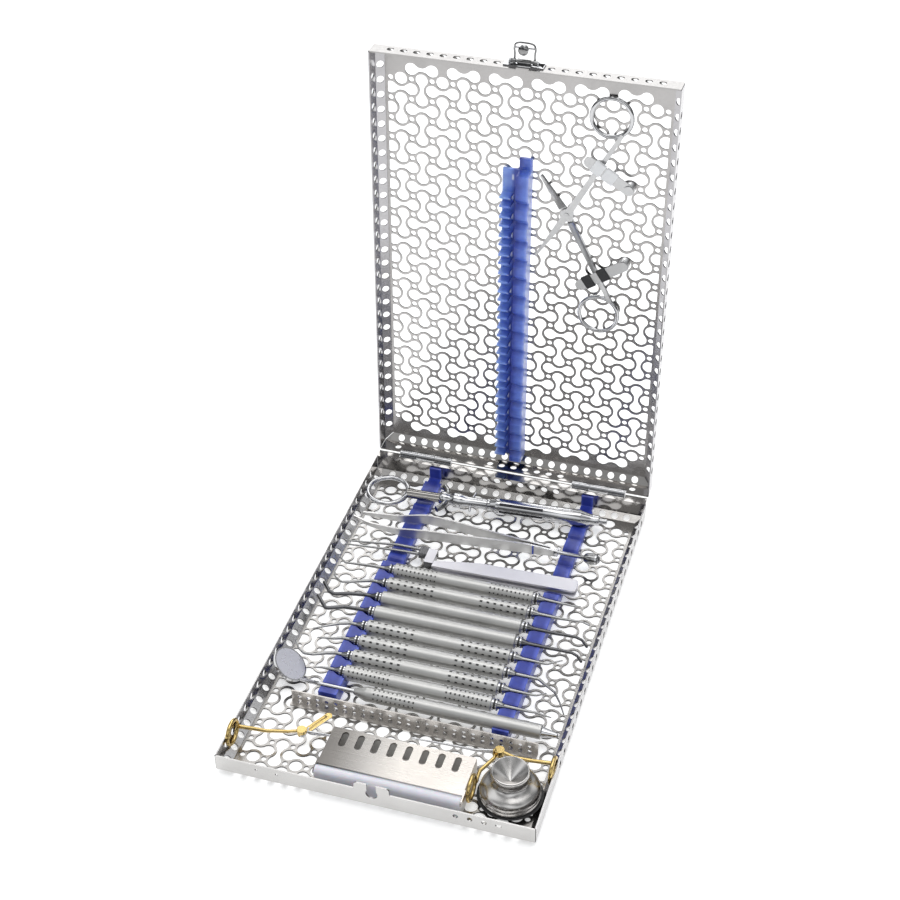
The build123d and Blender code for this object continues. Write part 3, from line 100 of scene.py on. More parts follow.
def new_group(name, inputs, outputs):
    """A node group with its sockets: inputs as name to value, outputs as name to socket type."""
    group = bpy.data.node_groups.new(name, "ShaderNodeTree")
    for label, value in inputs.items():
        kind = "NodeSocketFloat" if isinstance(value, (int, float)) else "NodeSocketVector"
        socket = group.interface.new_socket(label, in_out="INPUT", socket_type=kind)
        socket.default_value = value
    for label, kind in outputs.items():
        group.interface.new_socket(label, in_out="OUTPUT", socket_type=kind)
    return group, group.nodes.new("NodeGroupInput"), group.nodes.new("NodeGroupOutput")


def place_group(tree, group, **values):
    """A group in a material's tree, with its inputs set."""
    node = tree.nodes.new("ShaderNodeGroup")
    node.node_tree = group
    for label, value in values.items():
        node.inputs[label.replace("_", " ")].default_value = value
    return node


def link(tree, source, target):
    tree.links.new(source, target)


def give(material, *names):
    """CAD nodes take the material in every slot."""
    for name in names:
        mesh = nodes[name].data
        mesh.materials.clear()
        mesh.materials.append(material)


# Metal surface: roughness that drifts over the sheet, and a bump of fine grain on slow waves.
metal_skin, skin_in, skin_out = new_group(
    "metal_skin",
    {"Grain Size": 900.0, "Wave Size": 60.0, "Rough Low": 0.2, "Rough High": 0.3, "Wave Share": 0.5,
     "Stretch": (1.0, 1.0, 1.0)},
    {"Roughness": "NodeSocketFloat", "Height": "NodeSocketFloat", "Tone": "NodeSocketFloat"},
)
place = metal_skin.nodes.new("ShaderNodeTexCoord")
stretch = metal_skin.nodes.new("ShaderNodeVectorMath")
stretch.operation = "MULTIPLY"
link(metal_skin, place.outputs["Object"], stretch.inputs[0])
link(metal_skin, skin_in.outputs["Stretch"], stretch.inputs[1])
grain = metal_skin.nodes.new("ShaderNodeTexNoise")
grain.inputs["Detail"].default_value = 3.0
link(metal_skin, stretch.outputs["Vector"], grain.inputs["Vector"])
link(metal_skin, skin_in.outputs["Grain Size"], grain.inputs["Scale"])
wave = metal_skin.nodes.new("ShaderNodeTexNoise")
wave.inputs["Detail"].default_value = 1.0
link(metal_skin, place.outputs["Object"], wave.inputs["Vector"])
link(metal_skin, skin_in.outputs["Wave Size"], wave.inputs["Scale"])
drift = metal_skin.nodes.new("ShaderNodeMapRange")
link(metal_skin, grain.outputs["Fac"], drift.inputs["Value"])
drift.inputs["From Min"].default_value = 0.3
drift.inputs["From Max"].default_value = 0.7
link(metal_skin, skin_in.outputs["Rough Low"], drift.inputs["To Min"])
link(metal_skin, skin_in.outputs["Rough High"], drift.inputs["To Max"])
link(metal_skin, drift.outputs["Result"], skin_out.inputs["Roughness"])
heights = metal_skin.nodes.new("ShaderNodeMix")
link(metal_skin, skin_in.outputs["Wave Share"], heights.inputs["Factor"])
link(metal_skin, grain.outputs["Fac"], heights.inputs["A"])
link(metal_skin, wave.outputs["Fac"], heights.inputs["B"])
link(metal_skin, heights.outputs["Result"], skin_out.inputs["Height"])
link(metal_skin, wave.outputs["Fac"], skin_out.inputs["Tone"])


def metal(name, light, dark, bump, **skin):
    """A bare metal: its colour drifts between two tones, and its skin has grain and waves."""
    material, tree, shader = new_material(name)
    surface = place_group(tree, metal_skin, **skin)
    tone = tree.nodes.new("ShaderNodeMix")
    tone.data_type = "RGBA"
    link(tree, surface.outputs["Tone"], tone.inputs["Factor"])
    tone.inputs["A"].default_value = (*dark, 1)
    tone.inputs["B"].default_value = (*light, 1)
    relief = tree.nodes.new("ShaderNodeBump")
    relief.inputs["Distance"].default_value = bump
    relief.inputs["Strength"].default_value = 1.0
    link(tree, surface.outputs["Height"], relief.inputs["Height"])
    link(tree, tone.outputs["Result"], shader.inputs["Base Color"])
    link(tree, surface.outputs["Roughness"], shader.inputs["Roughness"])
    link(tree, relief.outputs["Normal"], shader.inputs["Normal"])
    shader.inputs["Metallic"].default_value = 1.0
    return material


# Punched edges are duller than the polished face, and carry painted shade that makes them near black. On a
# flat sheet they are what doesn't face along the sheet's normal, and on a folded wall what faces along its
# length.
edge_shade_mask, edge_in, edge_out = new_group(
    "punched_edge_shade", {"Axis": (0.0, 0.0, 1.0)}, {"Facing": "NodeSocketFloat"}
)
place = edge_shade_mask.nodes.new("ShaderNodeTexCoord")
facing = edge_shade_mask.nodes.new("ShaderNodeVectorMath")
facing.operation = "DOT_PRODUCT"
link(edge_shade_mask, place.outputs["Normal"], facing.inputs[0])
link(edge_shade_mask, edge_in.outputs["Axis"], facing.inputs[1])
size = edge_shade_mask.nodes.new("ShaderNodeMath")
size.operation = "ABSOLUTE"
link(edge_shade_mask, facing.outputs["Value"], size.inputs[0])
link(edge_shade_mask, size.outputs["Value"], edge_out.inputs["Facing"])


def punched_sheet(name, axis, flat, light, dark, bump, rough, *names):
    """Electropolished sheet whose punched edges carry near-black painted shade. The axis is its normal if
    flat, or its length.
    """
    material = metal(
        name, light, dark, bump,
        Grain_Size=500.0, Wave_Size=48.0, Rough_Low=rough, Rough_High=rough * 1.5, Wave_Share=0.95,
    )
    tree = material.node_tree
    shader = tree.nodes["Principled BSDF"]
    face_colour = shader.inputs["Base Color"].links[0].from_socket
    edge = place_group(tree, edge_shade_mask, Axis=axis)
    edge_shade_share = tree.nodes.new("ShaderNodeMapRange")
    link(tree, edge.outputs["Facing"], edge_shade_share.inputs["Value"])
    edge_shade_share.inputs["From Min"].default_value = 0.9 if flat else 0.2
    edge_shade_share.inputs["From Max"].default_value = 0.5 if flat else 0.8
    colour = tree.nodes.new("ShaderNodeMix")
    colour.data_type = "RGBA"
    link(tree, edge_shade_share.outputs["Result"], colour.inputs["Factor"])
    link(tree, face_colour, colour.inputs["A"])
    # Painted shade: the punched edges are mixed towards near black.
    colour.inputs["B"].default_value = (0.05, 0.048, 0.046, 1)
    link(tree, colour.outputs["Result"], shader.inputs["Base Color"])
    give(material, *names)


lid_joint = next(joint for joint in frame["joints"] if joint["name"] == "lid_hinge")
lid_lean = radians(-lid_joint["range_deg"][0] - 90)
lid_length_axis = (0.0, sin(lid_lean), cos(lid_lean))
lid_normal = (0.0, -cos(lid_lean), sin(lid_lean))
# Painted light and shade: the one sheet takes lighter tones on some walls and darker on others, by how each
# wall is lit.
punched_sheet("floor_sheet", (0, 0, 1), True, (0.47, 0.455, 0.44), (0.27, 0.26, 0.25), 0.00005, 0.18,
              "base_floor")
punched_sheet("panel_sheet", lid_normal, True, (0.47, 0.455, 0.45), (0.35, 0.34, 0.335), 0.00005, 0.18,
              "lid_panel")
punched_sheet("base_side_sheet", (0, 1, 0), False, (0.56, 0.55, 0.55), (0.42, 0.41, 0.41), 0.00005, 0.18,
              "base_left_wall", "base_right_wall")
punched_sheet("lid_side_sheet", lid_length_axis, False, (0.50, 0.49, 0.50), (0.40, 0.39, 0.40), 0.00005, 0.18,
              "lid_left_wall", "lid_right_wall")
punched_sheet("front_sheet", (1, 0, 0), False, (0.60, 0.59, 0.58), (0.50, 0.49, 0.48), 0.00005, 0.18,
              "base_front_wall")
punched_sheet("lid_front_sheet", (1, 0, 0), False, (0.42, 0.41, 0.40), (0.34, 0.33, 0.325), 0.00005, 0.18,
              "lid_front_wall")
punched_sheet("hinge_side_sheet", (1, 0, 0), False, (0.54, 0.52, 0.50), (0.30, 0.29, 0.28), 0.0002, 0.1,
              "base_back_wall", "lid_hinge_wall")
divider_steel = metal(
    "divider_sheet", (0.56, 0.535, 0.51), (0.34, 0.32, 0.30), 0.00005,
    Grain_Size=400.0, Wave_Size=60.0, Rough_Low=0.22, Rough_High=0.34, Wave_Share=0.95,
)
shader = divider_steel.node_tree.nodes["Principled BSDF"]
# Painted light: a faint glow lightens the whole divider, its shaded holes too.
shader.inputs["Emission Color"].default_value = (0.55, 0.52, 0.49, 1)
shader.inputs["Emission Strength"].default_value = 0.1
give(divider_steel, "divider")

# ---- Hinges and latch -------------------------------------------------------------------
# Two stainless butt hinges welded to the trays, their knuckles rolled round polished pins. The
# latch is a wire loop and a knob on a turned barrel, sprung in a welded bracket.
bright_steel = metal(
    "polished_steel", (0.62, 0.62, 0.63), (0.46, 0.46, 0.47), 0.000004,
    Grain_Size=500.0, Wave_Size=120.0, Rough_Low=0.08, Rough_High=0.16, Wave_Share=0.6,
)


def smooth_copy(node, name, material, edge=0.0, angle=32.0,
                other=None, where_other=None, swell=0.0):
    """A copy of a CAD node, shaded smooth: with rounded edges, a second material or a thicker first one."""
    mesh = bpy.data.meshes.new(name)
    work = bmesh.new()
    work.from_mesh(nodes[node].data)
    bmesh.ops.remove_doubles(work, verts=work.verts, dist=0.000002)
    bmesh.ops.dissolve_limit(work, angle_limit=radians(1.0), verts=work.verts, edges=work.edges)
    work.to_mesh(mesh)
    work.free()
    mesh.materials.clear()
    mesh.materials.append(material)
    if other:
        mesh.materials.append(other)
        for face in mesh.polygons:
            face.material_index = int(where_other(face.center))
        outward = [point.normal.copy() for point in mesh.vertices]
        for point, normal in zip(mesh.vertices, outward):
            if not where_other(point.co):
                point.co += normal * swell
    mesh.shade_smooth()
    mesh.set_sharp_from_angle(angle=radians(angle))
    piece = bpy.data.objects.new(name, mesh)
    bpy.context.scene.collection.objects.link(piece)
    if edge:
        rounding = piece.modifiers.new("edges", "BEVEL")
        rounding.width = edge
        rounding.segments = 2
        rounding.limit_method = "ANGLE"
        rounding.angle_limit = radians(angle)
        rounding.harden_normals = True
    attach(piece, nodes[node]["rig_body"])
    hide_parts(node)
    return piece


for node in ("base_hinge_leaves", "lid_hinge_leaves", "hinge_pins", "latch_bracket"):
    smooth_copy(node, node + "_polished", bright_steel)

turn_steps = 72


def turned_piece(profile, centre, axis=(1, 0, 0), across=(0, 0, 1)):
    """A lathe-turned shape: profile points are (along the axis, radius), from end to end."""
    axis, across, centre = Vector(axis), Vector(across), Vector(centre)
    work = bmesh.new()
    points = [work.verts.new(centre + axis * along + across * radius) for along, radius in profile]
    edges = [work.edges.new(pair) for pair in zip(points, points[1:])]
    bmesh.ops.spin(
        work, geom=points + edges, cent=centre, axis=axis, angle=2 * pi, steps=turn_steps, use_merge=True
    )
    bmesh.ops.remove_doubles(work, verts=work.verts, dist=0.000001)
    bmesh.ops.recalc_face_normals(work, faces=work.faces)
    return work


def finish_mesh(work, name, materials, body, angle=32.0, replaced=()):
    """Turns the worked mesh into a piece that rides on a body."""
    mesh = bpy.data.meshes.new(name)
    work.to_mesh(mesh)
    work.free()
    for material in materials:
        mesh.materials.append(material)
    mesh.shade_smooth()
    mesh.set_sharp_from_angle(angle=radians(angle))
    piece = bpy.data.objects.new(name, mesh)
    bpy.context.scene.collection.objects.link(piece)
    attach(piece, body)
    if replaced:
        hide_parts(*replaced)
    return piece


def bent_wire(points, radius):
    """A round wire that follows the points smoothly, as a worked mesh."""
    curve = bpy.data.curves.new("wire", "CURVE")
    curve.dimensions = "3D"
    curve.bevel_depth = radius
    curve.bevel_resolution = 4
    curve.use_fill_caps = True
    line = curve.splines.new("NURBS")
    line.points.add(len(points) - 1)
    for point, place in zip(line.points, points):
        point.co = (*place, 1)
    line.use_endpoint_u = True
    line.order_u = 3
    line.resolution_u = 8
    holder = bpy.data.objects.new("wire", curve)
    drawn = bpy.data.meshes.new_from_object(holder)
    work = bmesh.new()
    work.from_mesh(drawn)
    bmesh.ops.remove_doubles(work, verts=work.verts, dist=0.000001)
    bmesh.ops.recalc_face_normals(work, faces=work.faces)
    bpy.data.objects.remove(holder)
    bpy.data.curves.remove(curve)
    bpy.data.meshes.remove(drawn)
    return work


lid_foot = Vector((0, 0.1468, 0.0146))
latch_pin = (0.2910, -0.0061)        # from the lid's foot: along the lid, and towards its rim
lever_length = 0.012
lever_drop = 0.0009
loop_room = 0.0003                   # the loop's bend stands this much under the lever's end
loop_bulge = 0.0002                  # the bend's middle from its ends
latch_half_width = 0.0079
stud_rise = 0.008                    # stud from the pin
stud_radius = 0.003
stud_length = 0.0059
stud_sink = 0.0005                   # its foot behind the wire's middle
wire_radius = 0.0006


def in_lid(x, along, out):
    """A place in the lid: across it, along it from the hinge, and out towards the rim."""
    return lid_foot + Vector((x, 0, 0)) + Vector(lid_length_axis) * along + Vector(lid_normal) * out


dark_chrome = metal(
    "dark_chrome", (0.42, 0.42, 0.42), (0.10, 0.10, 0.10), 0.00004,
    Grain_Size=300.0, Wave_Size=260.0, Rough_Low=0.05, Rough_High=0.12, Wave_Share=0.9,
)
pin_along, pin_out = latch_pin
right_barrel = [(latch_half_width, 0), (latch_half_width, 0.0012), (latch_half_width - 0.0004, 0.0014),
                (0.0052, 0.0014), (0.0050, 0.0010), (0.0042, 0.0010), (0.0040, 0.0015)]
barrel = [(-x, radius) for x, radius in right_barrel] + right_barrel[::-1]
work = turned_piece(barrel, in_lid(0, pin_along, pin_out))
finish_mesh(work, "latch_barrel", [dark_chrome], "latch", replaced=["latch_lever"])
wire_out = pin_out - lever_drop
top = pin_along + lever_length - wire_radius - loop_room
loop = [in_lid(x, along, wire_out) for x, along in (
    (-0.0062, pin_along), (-0.0058, pin_along + 0.004), (-0.0066, pin_along + 0.008),
    (-0.0052, top - loop_bulge), (0, top + loop_bulge), (0.0052, top - loop_bulge),
    (0.0066, pin_along + 0.008), (0.0058, pin_along + 0.004), (0.0062, pin_along))]
finish_mesh(bent_wire(loop, wire_radius), "latch_loop", [dark_chrome], "latch",
            replaced=["latch_lever"])
yoke = [in_lid(x, along, wire_out) for x, along in (
    (-0.0064, pin_along + stud_rise), (-0.003, pin_along + stud_rise), (0.003, pin_along + stud_rise),
    (0.0064, pin_along + stud_rise))]
finish_mesh(bent_wire(yoke, wire_radius), "latch_yoke", [bright_steel], "latch",
            replaced=["latch_lever"])
stud = [(0, 0), (0, 0.0016), (0.0004, 0.0019), (0.0022, 0.0019), (0.0026, stud_radius - 0.0004),
        (0.0032, stud_radius), (stud_length - 0.0010, stud_radius),
        (stud_length - 0.0003, stud_radius - 0.0006), (stud_length, stud_radius - 0.0014), (stud_length, 0)]
stud_foot = in_lid(0, pin_along + stud_rise, wire_out - stud_sink)
work = turned_piece(stud, stud_foot, axis=lid_normal, across=(1, 0, 0))
finish_mesh(work, "latch_stud", [dark_chrome], "latch", replaced=["latch_lever"])

# ---- Silicone rails ---------------------------------------------------------------------
# Blue silicone strips, moulded with a seat for each handle and pressed into the trays' holes.
# They are slightly see-through: thin edges and the lid rail's comb are lighter; hollows get painted shade,
# the lid rail painted highlights.
seat_pitch = 0.01325

# Distance along the rail, and how far it is into the seat that it belongs to: 0 to 1 per seat.
seat_phase, phase_in, phase_out = new_group(
    "seat_phase", {"Axis": (0.0, 1.0, 0.0), "Start": 0.0, "Pitch": seat_pitch}, {"Phase": "NodeSocketFloat"}
)
place = seat_phase.nodes.new("ShaderNodeTexCoord")
along = seat_phase.nodes.new("ShaderNodeVectorMath")
along.operation = "DOT_PRODUCT"
link(seat_phase, place.outputs["Object"], along.inputs[0])
link(seat_phase, phase_in.outputs["Axis"], along.inputs[1])
from_start = seat_phase.nodes.new("ShaderNodeMath")
from_start.operation = "SUBTRACT"
link(seat_phase, along.outputs["Value"], from_start.inputs[0])
link(seat_phase, phase_in.outputs["Start"], from_start.inputs[1])
seats = seat_phase.nodes.new("ShaderNodeMath")
seats.operation = "DIVIDE"
link(seat_phase, from_start.outputs["Value"], seats.inputs[0])
link(seat_phase, phase_in.outputs["Pitch"], seats.inputs[1])
phase = seat_phase.nodes.new("ShaderNodeMath")
phase.operation = "FRACT"
link(seat_phase, seats.outputs["Value"], phase.inputs[0])
link(seat_phase, phase.outputs["Value"], phase_out.inputs["Phase"])


def colour_steps(tree, source, steps):
    """A colour ramp over a value: steps are (place, colour)."""
    ramp = tree.nodes.new("ShaderNodeValToRGB")
    band = ramp.color_ramp
    band.elements[0].position, band.elements[0].color = steps[0][0], (*steps[0][1], 1)
    band.elements[1].position, band.elements[1].color = steps[-1][0], (*steps[-1][1], 1)
    for spot, colour in steps[1:-1]:
        band.elements.new(spot).color = (*colour, 1)
    link(tree, source, ramp.inputs["Fac"])
    return ramp.outputs["Color"]


def silicone(name, axis, start, across_low, across_high, across_steps, seat_shade_steps, seat_shade_share, glint_across=0):
    """Blue silicone whose colour changes across the rail, with painted shade in each seat's hollow and, where
    asked, a painted highlight in each seat.
    """
    material, tree, shader = new_material(name)
    where = tree.nodes.new("ShaderNodeTexCoord")
    split = tree.nodes.new("ShaderNodeSeparateXYZ")
    link(tree, where.outputs["Object"], split.inputs["Vector"])
    across = tree.nodes.new("ShaderNodeMapRange")
    across.inputs["From Min"].default_value = across_low
    across.inputs["From Max"].default_value = across_high
    link(tree, split.outputs["X"], across.inputs["Value"])
    wide = colour_steps(tree, across.outputs["Result"], across_steps)
    seat = place_group(tree, seat_phase, Axis=axis, Start=start, Pitch=seat_pitch)
    seat_shade_ramp = colour_steps(tree, seat.outputs["Phase"], seat_shade_steps)
    # Painted shade: the seat ramp darkens the middle of each seat's hollow.
    depth = tree.nodes.new("ShaderNodeMix")
    depth.data_type = "RGBA"
    depth.blend_type = "MULTIPLY"
    depth.inputs["Factor"].default_value = seat_shade_share
    link(tree, wide, depth.inputs["A"])
    link(tree, seat_shade_ramp, depth.inputs["B"])
    blue = depth.outputs["Result"]
    # Painted highlight: a near-white spot in each seat, at one place across the rail.
    if glint_across:
        glint_band = colour_steps(tree, across.outputs["Result"], [
            (0.0, (0, 0, 0)), (glint_across - 0.05, (0, 0, 0)), (glint_across, (1, 1, 1)),
            (glint_across + 0.05, (0, 0, 0)), (1.0, (0, 0, 0))])
        glint_seat_band = colour_steps(tree, seat.outputs["Phase"], [
            (0.0, (0, 0, 0)), (0.42, (0, 0, 0)), (0.52, (1, 1, 1)), (0.68, (1, 1, 1)),
            (0.78, (0, 0, 0)), (1.0, (0, 0, 0))])
        glint_mask = tree.nodes.new("ShaderNodeMix")
        glint_mask.data_type = "RGBA"
        glint_mask.blend_type = "MULTIPLY"
        glint_mask.inputs["Factor"].default_value = 1.0
        link(tree, glint_band, glint_mask.inputs["A"])
        link(tree, glint_seat_band, glint_mask.inputs["B"])
        painted_glint = tree.nodes.new("ShaderNodeMix")
        painted_glint.data_type = "RGBA"
        link(tree, glint_mask.outputs["Result"], painted_glint.inputs["Factor"])
        link(tree, blue, painted_glint.inputs["A"])
        painted_glint.inputs["B"].default_value = (0.92, 0.95, 1, 1)
        blue = painted_glint.outputs["Result"]
    mottle = tree.nodes.new("ShaderNodeTexNoise")
    mottle.inputs["Scale"].default_value = 260.0
    mottle.inputs["Detail"].default_value = 4.0
    link(tree, where.outputs["Object"], mottle.inputs["Vector"])
    cloudy = tree.nodes.new("ShaderNodeMix")
    cloudy.data_type = "RGBA"
    cloudy.blend_type = "OVERLAY"
    cloudy.inputs["Factor"].default_value = 0.35
    link(tree, blue, cloudy.inputs["A"])
    link(tree, mottle.outputs["Fac"], cloudy.inputs["B"])
    link(tree, cloudy.outputs["Result"], shader.inputs["Base Color"])
    skin = tree.nodes.new("ShaderNodeBump")
    skin.inputs["Distance"].default_value = 0.00006
    link(tree, mottle.outputs["Fac"], skin.inputs["Height"])
    link(tree, skin.outputs["Normal"], shader.inputs["Normal"])
    shader.inputs["Roughness"].default_value = 0.3
    shader.inputs["Subsurface Weight"].default_value = 0.25
    shader.inputs["Subsurface Radius"].default_value = (0.2, 0.3, 1.0)
    shader.inputs["Subsurface Scale"].default_value = 0.002
    return material


deep_blue = (0.03, 0.05, 0.33)
vivid_blue = (0.06, 0.10, 0.48)
first_low, first_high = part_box("instrument_8_handle")
seat_start = (first_low.y + first_high.y) / 2 - seat_pitch / 2
# Painted shade in the darker middle across the rail; its paler edges stand for thin see-through silicone.
across_steps = [(0.0, vivid_blue), (0.25, deep_blue), (0.7, deep_blue), (1.0, (0.10, 0.14, 0.58))]
seat_shade_steps = [(0.0, (1, 1, 1)), (0.2, (1, 1, 1)), (0.32, (0.55, 0.55, 0.7)), (0.68, (0.6, 0.6, 0.75)),
              (0.8, (1, 1, 1)), (1.0, (1, 1, 1))]
for rail in ("base_left_rail", "base_right_rail"):
    low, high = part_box(rail)
    rail_blue = silicone(rail + "_blue", (0, 1, 0), seat_start, low.x, high.x, across_steps, seat_shade_steps, 0.7)
    smooth_copy(rail, rail + "_silicone", rail_blue, edge=0.0003)

low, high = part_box("lid_rail")
rail_first = (Vector((0, low.y, low.z)) - lid_foot).dot(Vector(lid_length_axis))
lid_rail_start = lid_foot.dot(Vector(lid_length_axis)) + rail_first
comb_light = (0.30, 0.46, 0.92)
# The lid rail: a pale comb for thin silicone, and painted shade in the dark trough across the middle.
across_steps = [(0.0, (0.62, 0.74, 1.0)), (0.05, comb_light), (0.30, (0.20, 0.33, 0.82)),
                (0.42, (0.05, 0.09, 0.46)), (0.62, (0.045, 0.08, 0.42)), (0.74, (0.10, 0.17, 0.62)),
                (0.9, (0.14, 0.24, 0.74)), (1.0, (0.36, 0.46, 0.92))]
seat_shade_steps = [(0.0, (1, 1, 1)), (0.06, (0.86, 0.86, 0.92)), (0.5, (0.62, 0.62, 0.76)),
              (0.9, (0.86, 0.86, 0.92)), (1.0, (1, 1, 1))]
lid_blue = silicone("lid_rail_blue", lid_length_axis, lid_rail_start, low.x, high.x, across_steps,
                    seat_shade_steps, 0.6, glint_across=0.36)
smooth_copy("lid_rail", "lid_rail_silicone", lid_blue, edge=0.0003)

# ---- Clips and forceps in the lid -------------------------------------------------------
# Spring-steel clips on rivets, with soft sleeves, hold the forceps: satin stainless, its finger
# rings polished.
satin_steel = metal(
    "satin_steel", (0.60, 0.60, 0.60), (0.50, 0.50, 0.505), 0.00002,
    Grain_Size=1500.0, Wave_Size=90.0, Rough_Low=0.26, Rough_High=0.38, Wave_Share=0.3,
)
for node in ("upper_clip", "lower_clip", "clip_rivets"):
    smooth_copy(node, node + "_satin", satin_steel)
ring_width = 0.028
for node in ("forceps_upper_half", "forceps_lower_half"):
    low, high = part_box(node)
    upper = node == "forceps_upper_half"
    ring_edge = high.z - ring_width if upper else low.z + ring_width
    smooth_copy(node, node + "_satin", satin_steel, other=bright_steel,
                where_other=lambda spot: spot.z > ring_edge if upper else spot.z < ring_edge)


def plain_plastic(name, light, dark, roughness, grain_size, bump):
    """A moulded surface whose colour and height vary with a fine noise."""
    material, tree, shader = new_material(name)
    speck = tree.nodes.new("ShaderNodeTexNoise")
    speck.inputs["Scale"].default_value = grain_size
    where = tree.nodes.new("ShaderNodeTexCoord")
    link(tree, where.outputs["Object"], speck.inputs["Vector"])
    tone = tree.nodes.new("ShaderNodeMix")
    tone.data_type = "RGBA"
    tone.inputs["A"].default_value = (*dark, 1)
    tone.inputs["B"].default_value = (*light, 1)
    link(tree, speck.outputs["Fac"], tone.inputs["Factor"])
    link(tree, tone.outputs["Result"], shader.inputs["Base Color"])
    relief = tree.nodes.new("ShaderNodeBump")
    relief.inputs["Distance"].default_value = bump
    link(tree, speck.outputs["Fac"], relief.inputs["Height"])
    link(tree, relief.outputs["Normal"], shader.inputs["Normal"])
    shader.inputs["Roughness"].default_value = roughness
    return material, shader


black_rubber, shader = plain_plastic(
    "black_rubber", (0.03, 0.03, 0.032), (0.015, 0.015, 0.016), 0.55, 900.0, 0.00003)
clear_sleeve, shader = plain_plastic(
    "milky_sleeve", (0.9, 0.91, 0.92), (0.8, 0.81, 0.83), 0.35, 300.0, 0.00002)
smooth_copy("upper_clip_sleeves", "upper_clip_sleeves_soft", clear_sleeve)
smooth_copy("lower_clip_sleeves", "lower_clip_sleeves_soft", black_rubber)

# ---- Double-ended instruments -----------------------------------------------------------
# Hollow stainless handles, bead blasted. Six of them have rings of small pressed grip marks near
# both ends, two are smooth. Polished collars and sockets carry the bent working tips.
instrument_count = 8
smooth_handles = (3, 4)
collar_length = 0.0035
collar_share = 3.6 / 4.75
mark_first = 0.003
mark_pitch = 0.0027
mark_rings = 10
mark_length = 0.001
mark_depth = 0.00035
mark_step = 8                # in steps of the turn
mark_width = 3
broad_marks = (2, 5, 6, 7)
broad_pitch = 0.0044
broad_rings = 7
broad_length = 0.0018
mark_edge = 0.00012          # sloping wall of a mark
groove_depth = 0.0005
groove_start, groove_end = 0.0013, 0.0023   # from the collar's end
groove_slope = 0.0001
handle_steel = metal(
    "blasted_handle", (0.56, 0.556, 0.54), (0.46, 0.456, 0.445), 0.00003,
    Grain_Size=2200.0, Wave_Size=60.0, Rough_Low=0.36, Rough_High=0.5, Wave_Share=0.15,
)
# Painted shade: the pressed pits and the collar grooves are coloured near black for the shade inside them.
pit_shade_steel = metal(
    "grip_pit_shade", (0.08, 0.08, 0.08), (0.05, 0.05, 0.05), 0.00002,
    Grain_Size=2200.0, Wave_Size=60.0, Rough_Low=0.4, Rough_High=0.55, Wave_Share=0.15,
)
tip_steel = metal(
    "tip_steel", (0.40, 0.40, 0.40), (0.28, 0.28, 0.28), 0.00001,
    Grain_Size=900.0, Wave_Size=90.0, Rough_Low=0.14, Rough_High=0.24, Wave_Share=0.5,
)
dark_tip = metal(
    "dark_tip", (0.16, 0.16, 0.165), (0.10, 0.10, 0.105), 0.00001,
    Grain_Size=900.0, Wave_Size=90.0, Rough_Low=0.16, Rough_High=0.26, Wave_Share=0.5,
)
for number in range(1, instrument_count + 1):
    node = f"instrument_{number}_handle"
    low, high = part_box(node)
    middle = (low + high) / 2
    half = (high.x - low.x) / 2
    radius = (high.z - low.z) / 2
    body_half = half - collar_length
    collar = radius * collar_share
    rounding = 0.0008 if number in smooth_handles else 0.0004
    broad = number in broad_marks
    pitch = broad_pitch if broad else mark_pitch
    rings = broad_rings if broad else mark_rings
    length = broad_length if broad else mark_length
    marks = [body_half - mark_first - ring * pitch for ring in range(rings)]
    steps = []
    if number not in smooth_handles:
        steps = [(x + side * length / 2, radius) for x in marks for side in (1, -1)]
    groove = [(half - groove_start + groove_slope, collar), (half - groove_start, collar - groove_depth),
              (half - groove_end, collar - groove_depth), (half - groove_end - groove_slope, collar)]
    right = [(half, 0), (half, collar - 0.0003), (half - 0.0003, collar)] + groove + [
        (body_half, collar), (body_half, radius - rounding), (body_half - rounding, radius)] + steps
    profile = right + [(-x, r) for x, r in reversed(right)]
    work = turned_piece(profile, middle)
    if number not in smooth_handles:
        pits = []
        for face in work.faces:
            spot = face.calc_center_median() - middle
            turn = (atan2(spot.y, spot.z) / (2 * pi) * turn_steps) % mark_step
            in_ring = any(abs(abs(spot.x) - x) < length / 4 for x in marks)
            if in_ring and turn < mark_width:
                pits.append(face)
        bmesh.ops.inset_region(work, faces=pits, thickness=mark_edge, depth=-mark_depth)
        for face in pits:
            face.material_index = 1
    for face in work.faces:
        spot = face.calc_center_median() - middle
        if abs(spot.x) > body_half - 0.00001:
            in_groove = half - groove_end < abs(spot.x) < half - groove_start
            # Painted shade: collar grooves take the near-black pit material.
            face.material_index = 1 if in_groove else 2
    finish_mesh(work, f"instrument_{number}_grip", [handle_steel, pit_shade_steel, bright_steel],
                f"instrument_{number}", replaced=[node])
    smooth_copy(f"instrument_{number}_tips", f"instrument_{number}_points",
                dark_tip if number in smooth_handles else tip_steel)

# ---- Mouth mirror -----------------------------------------------------------------------
# A turned satin handle, and a polished cup on a bent stem that holds the round glass.
low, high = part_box("mirror_handle")
middle = (low + high) / 2
radius = (high.z - low.z) / 2
left_end, right_end = low.x - middle.x, high.x - middle.x
neck_length = 0.008
cone_length = 0.0095
mirror_mark_first = 0.005    # from the shoulder
shoulder = left_end + neck_length
cone_start = right_end - cone_length
marks = [shoulder + mirror_mark_first + ring * mark_pitch for ring in range(mark_rings)]
steps = [(x + side * mark_length / 2, radius) for x in marks for side in (-1, 1)]
profile = [(left_end, 0), (left_end, 0.0018), (shoulder - 0.001, radius - 0.0002), (shoulder, radius)] + steps
profile += [(cone_start - 0.0004, radius), (cone_start, radius - 0.0003),
            (cone_start + 0.0003, radius - 0.0012), (right_end - 0.0004, 0.0013), (right_end, 0.0009),
            (right_end, 0)]
work = turned_piece(profile, middle)
pits = []
for face in work.faces:
    spot = face.calc_center_median() - middle
    turn = (atan2(spot.y, spot.z) / (2 * pi) * turn_steps) % mark_step
    if any(abs(spot.x - x) < mark_length / 4 for x in marks) and turn < mark_width:
        pits.append(face)
    if spot.x > cone_start:
        face.material_index = 2
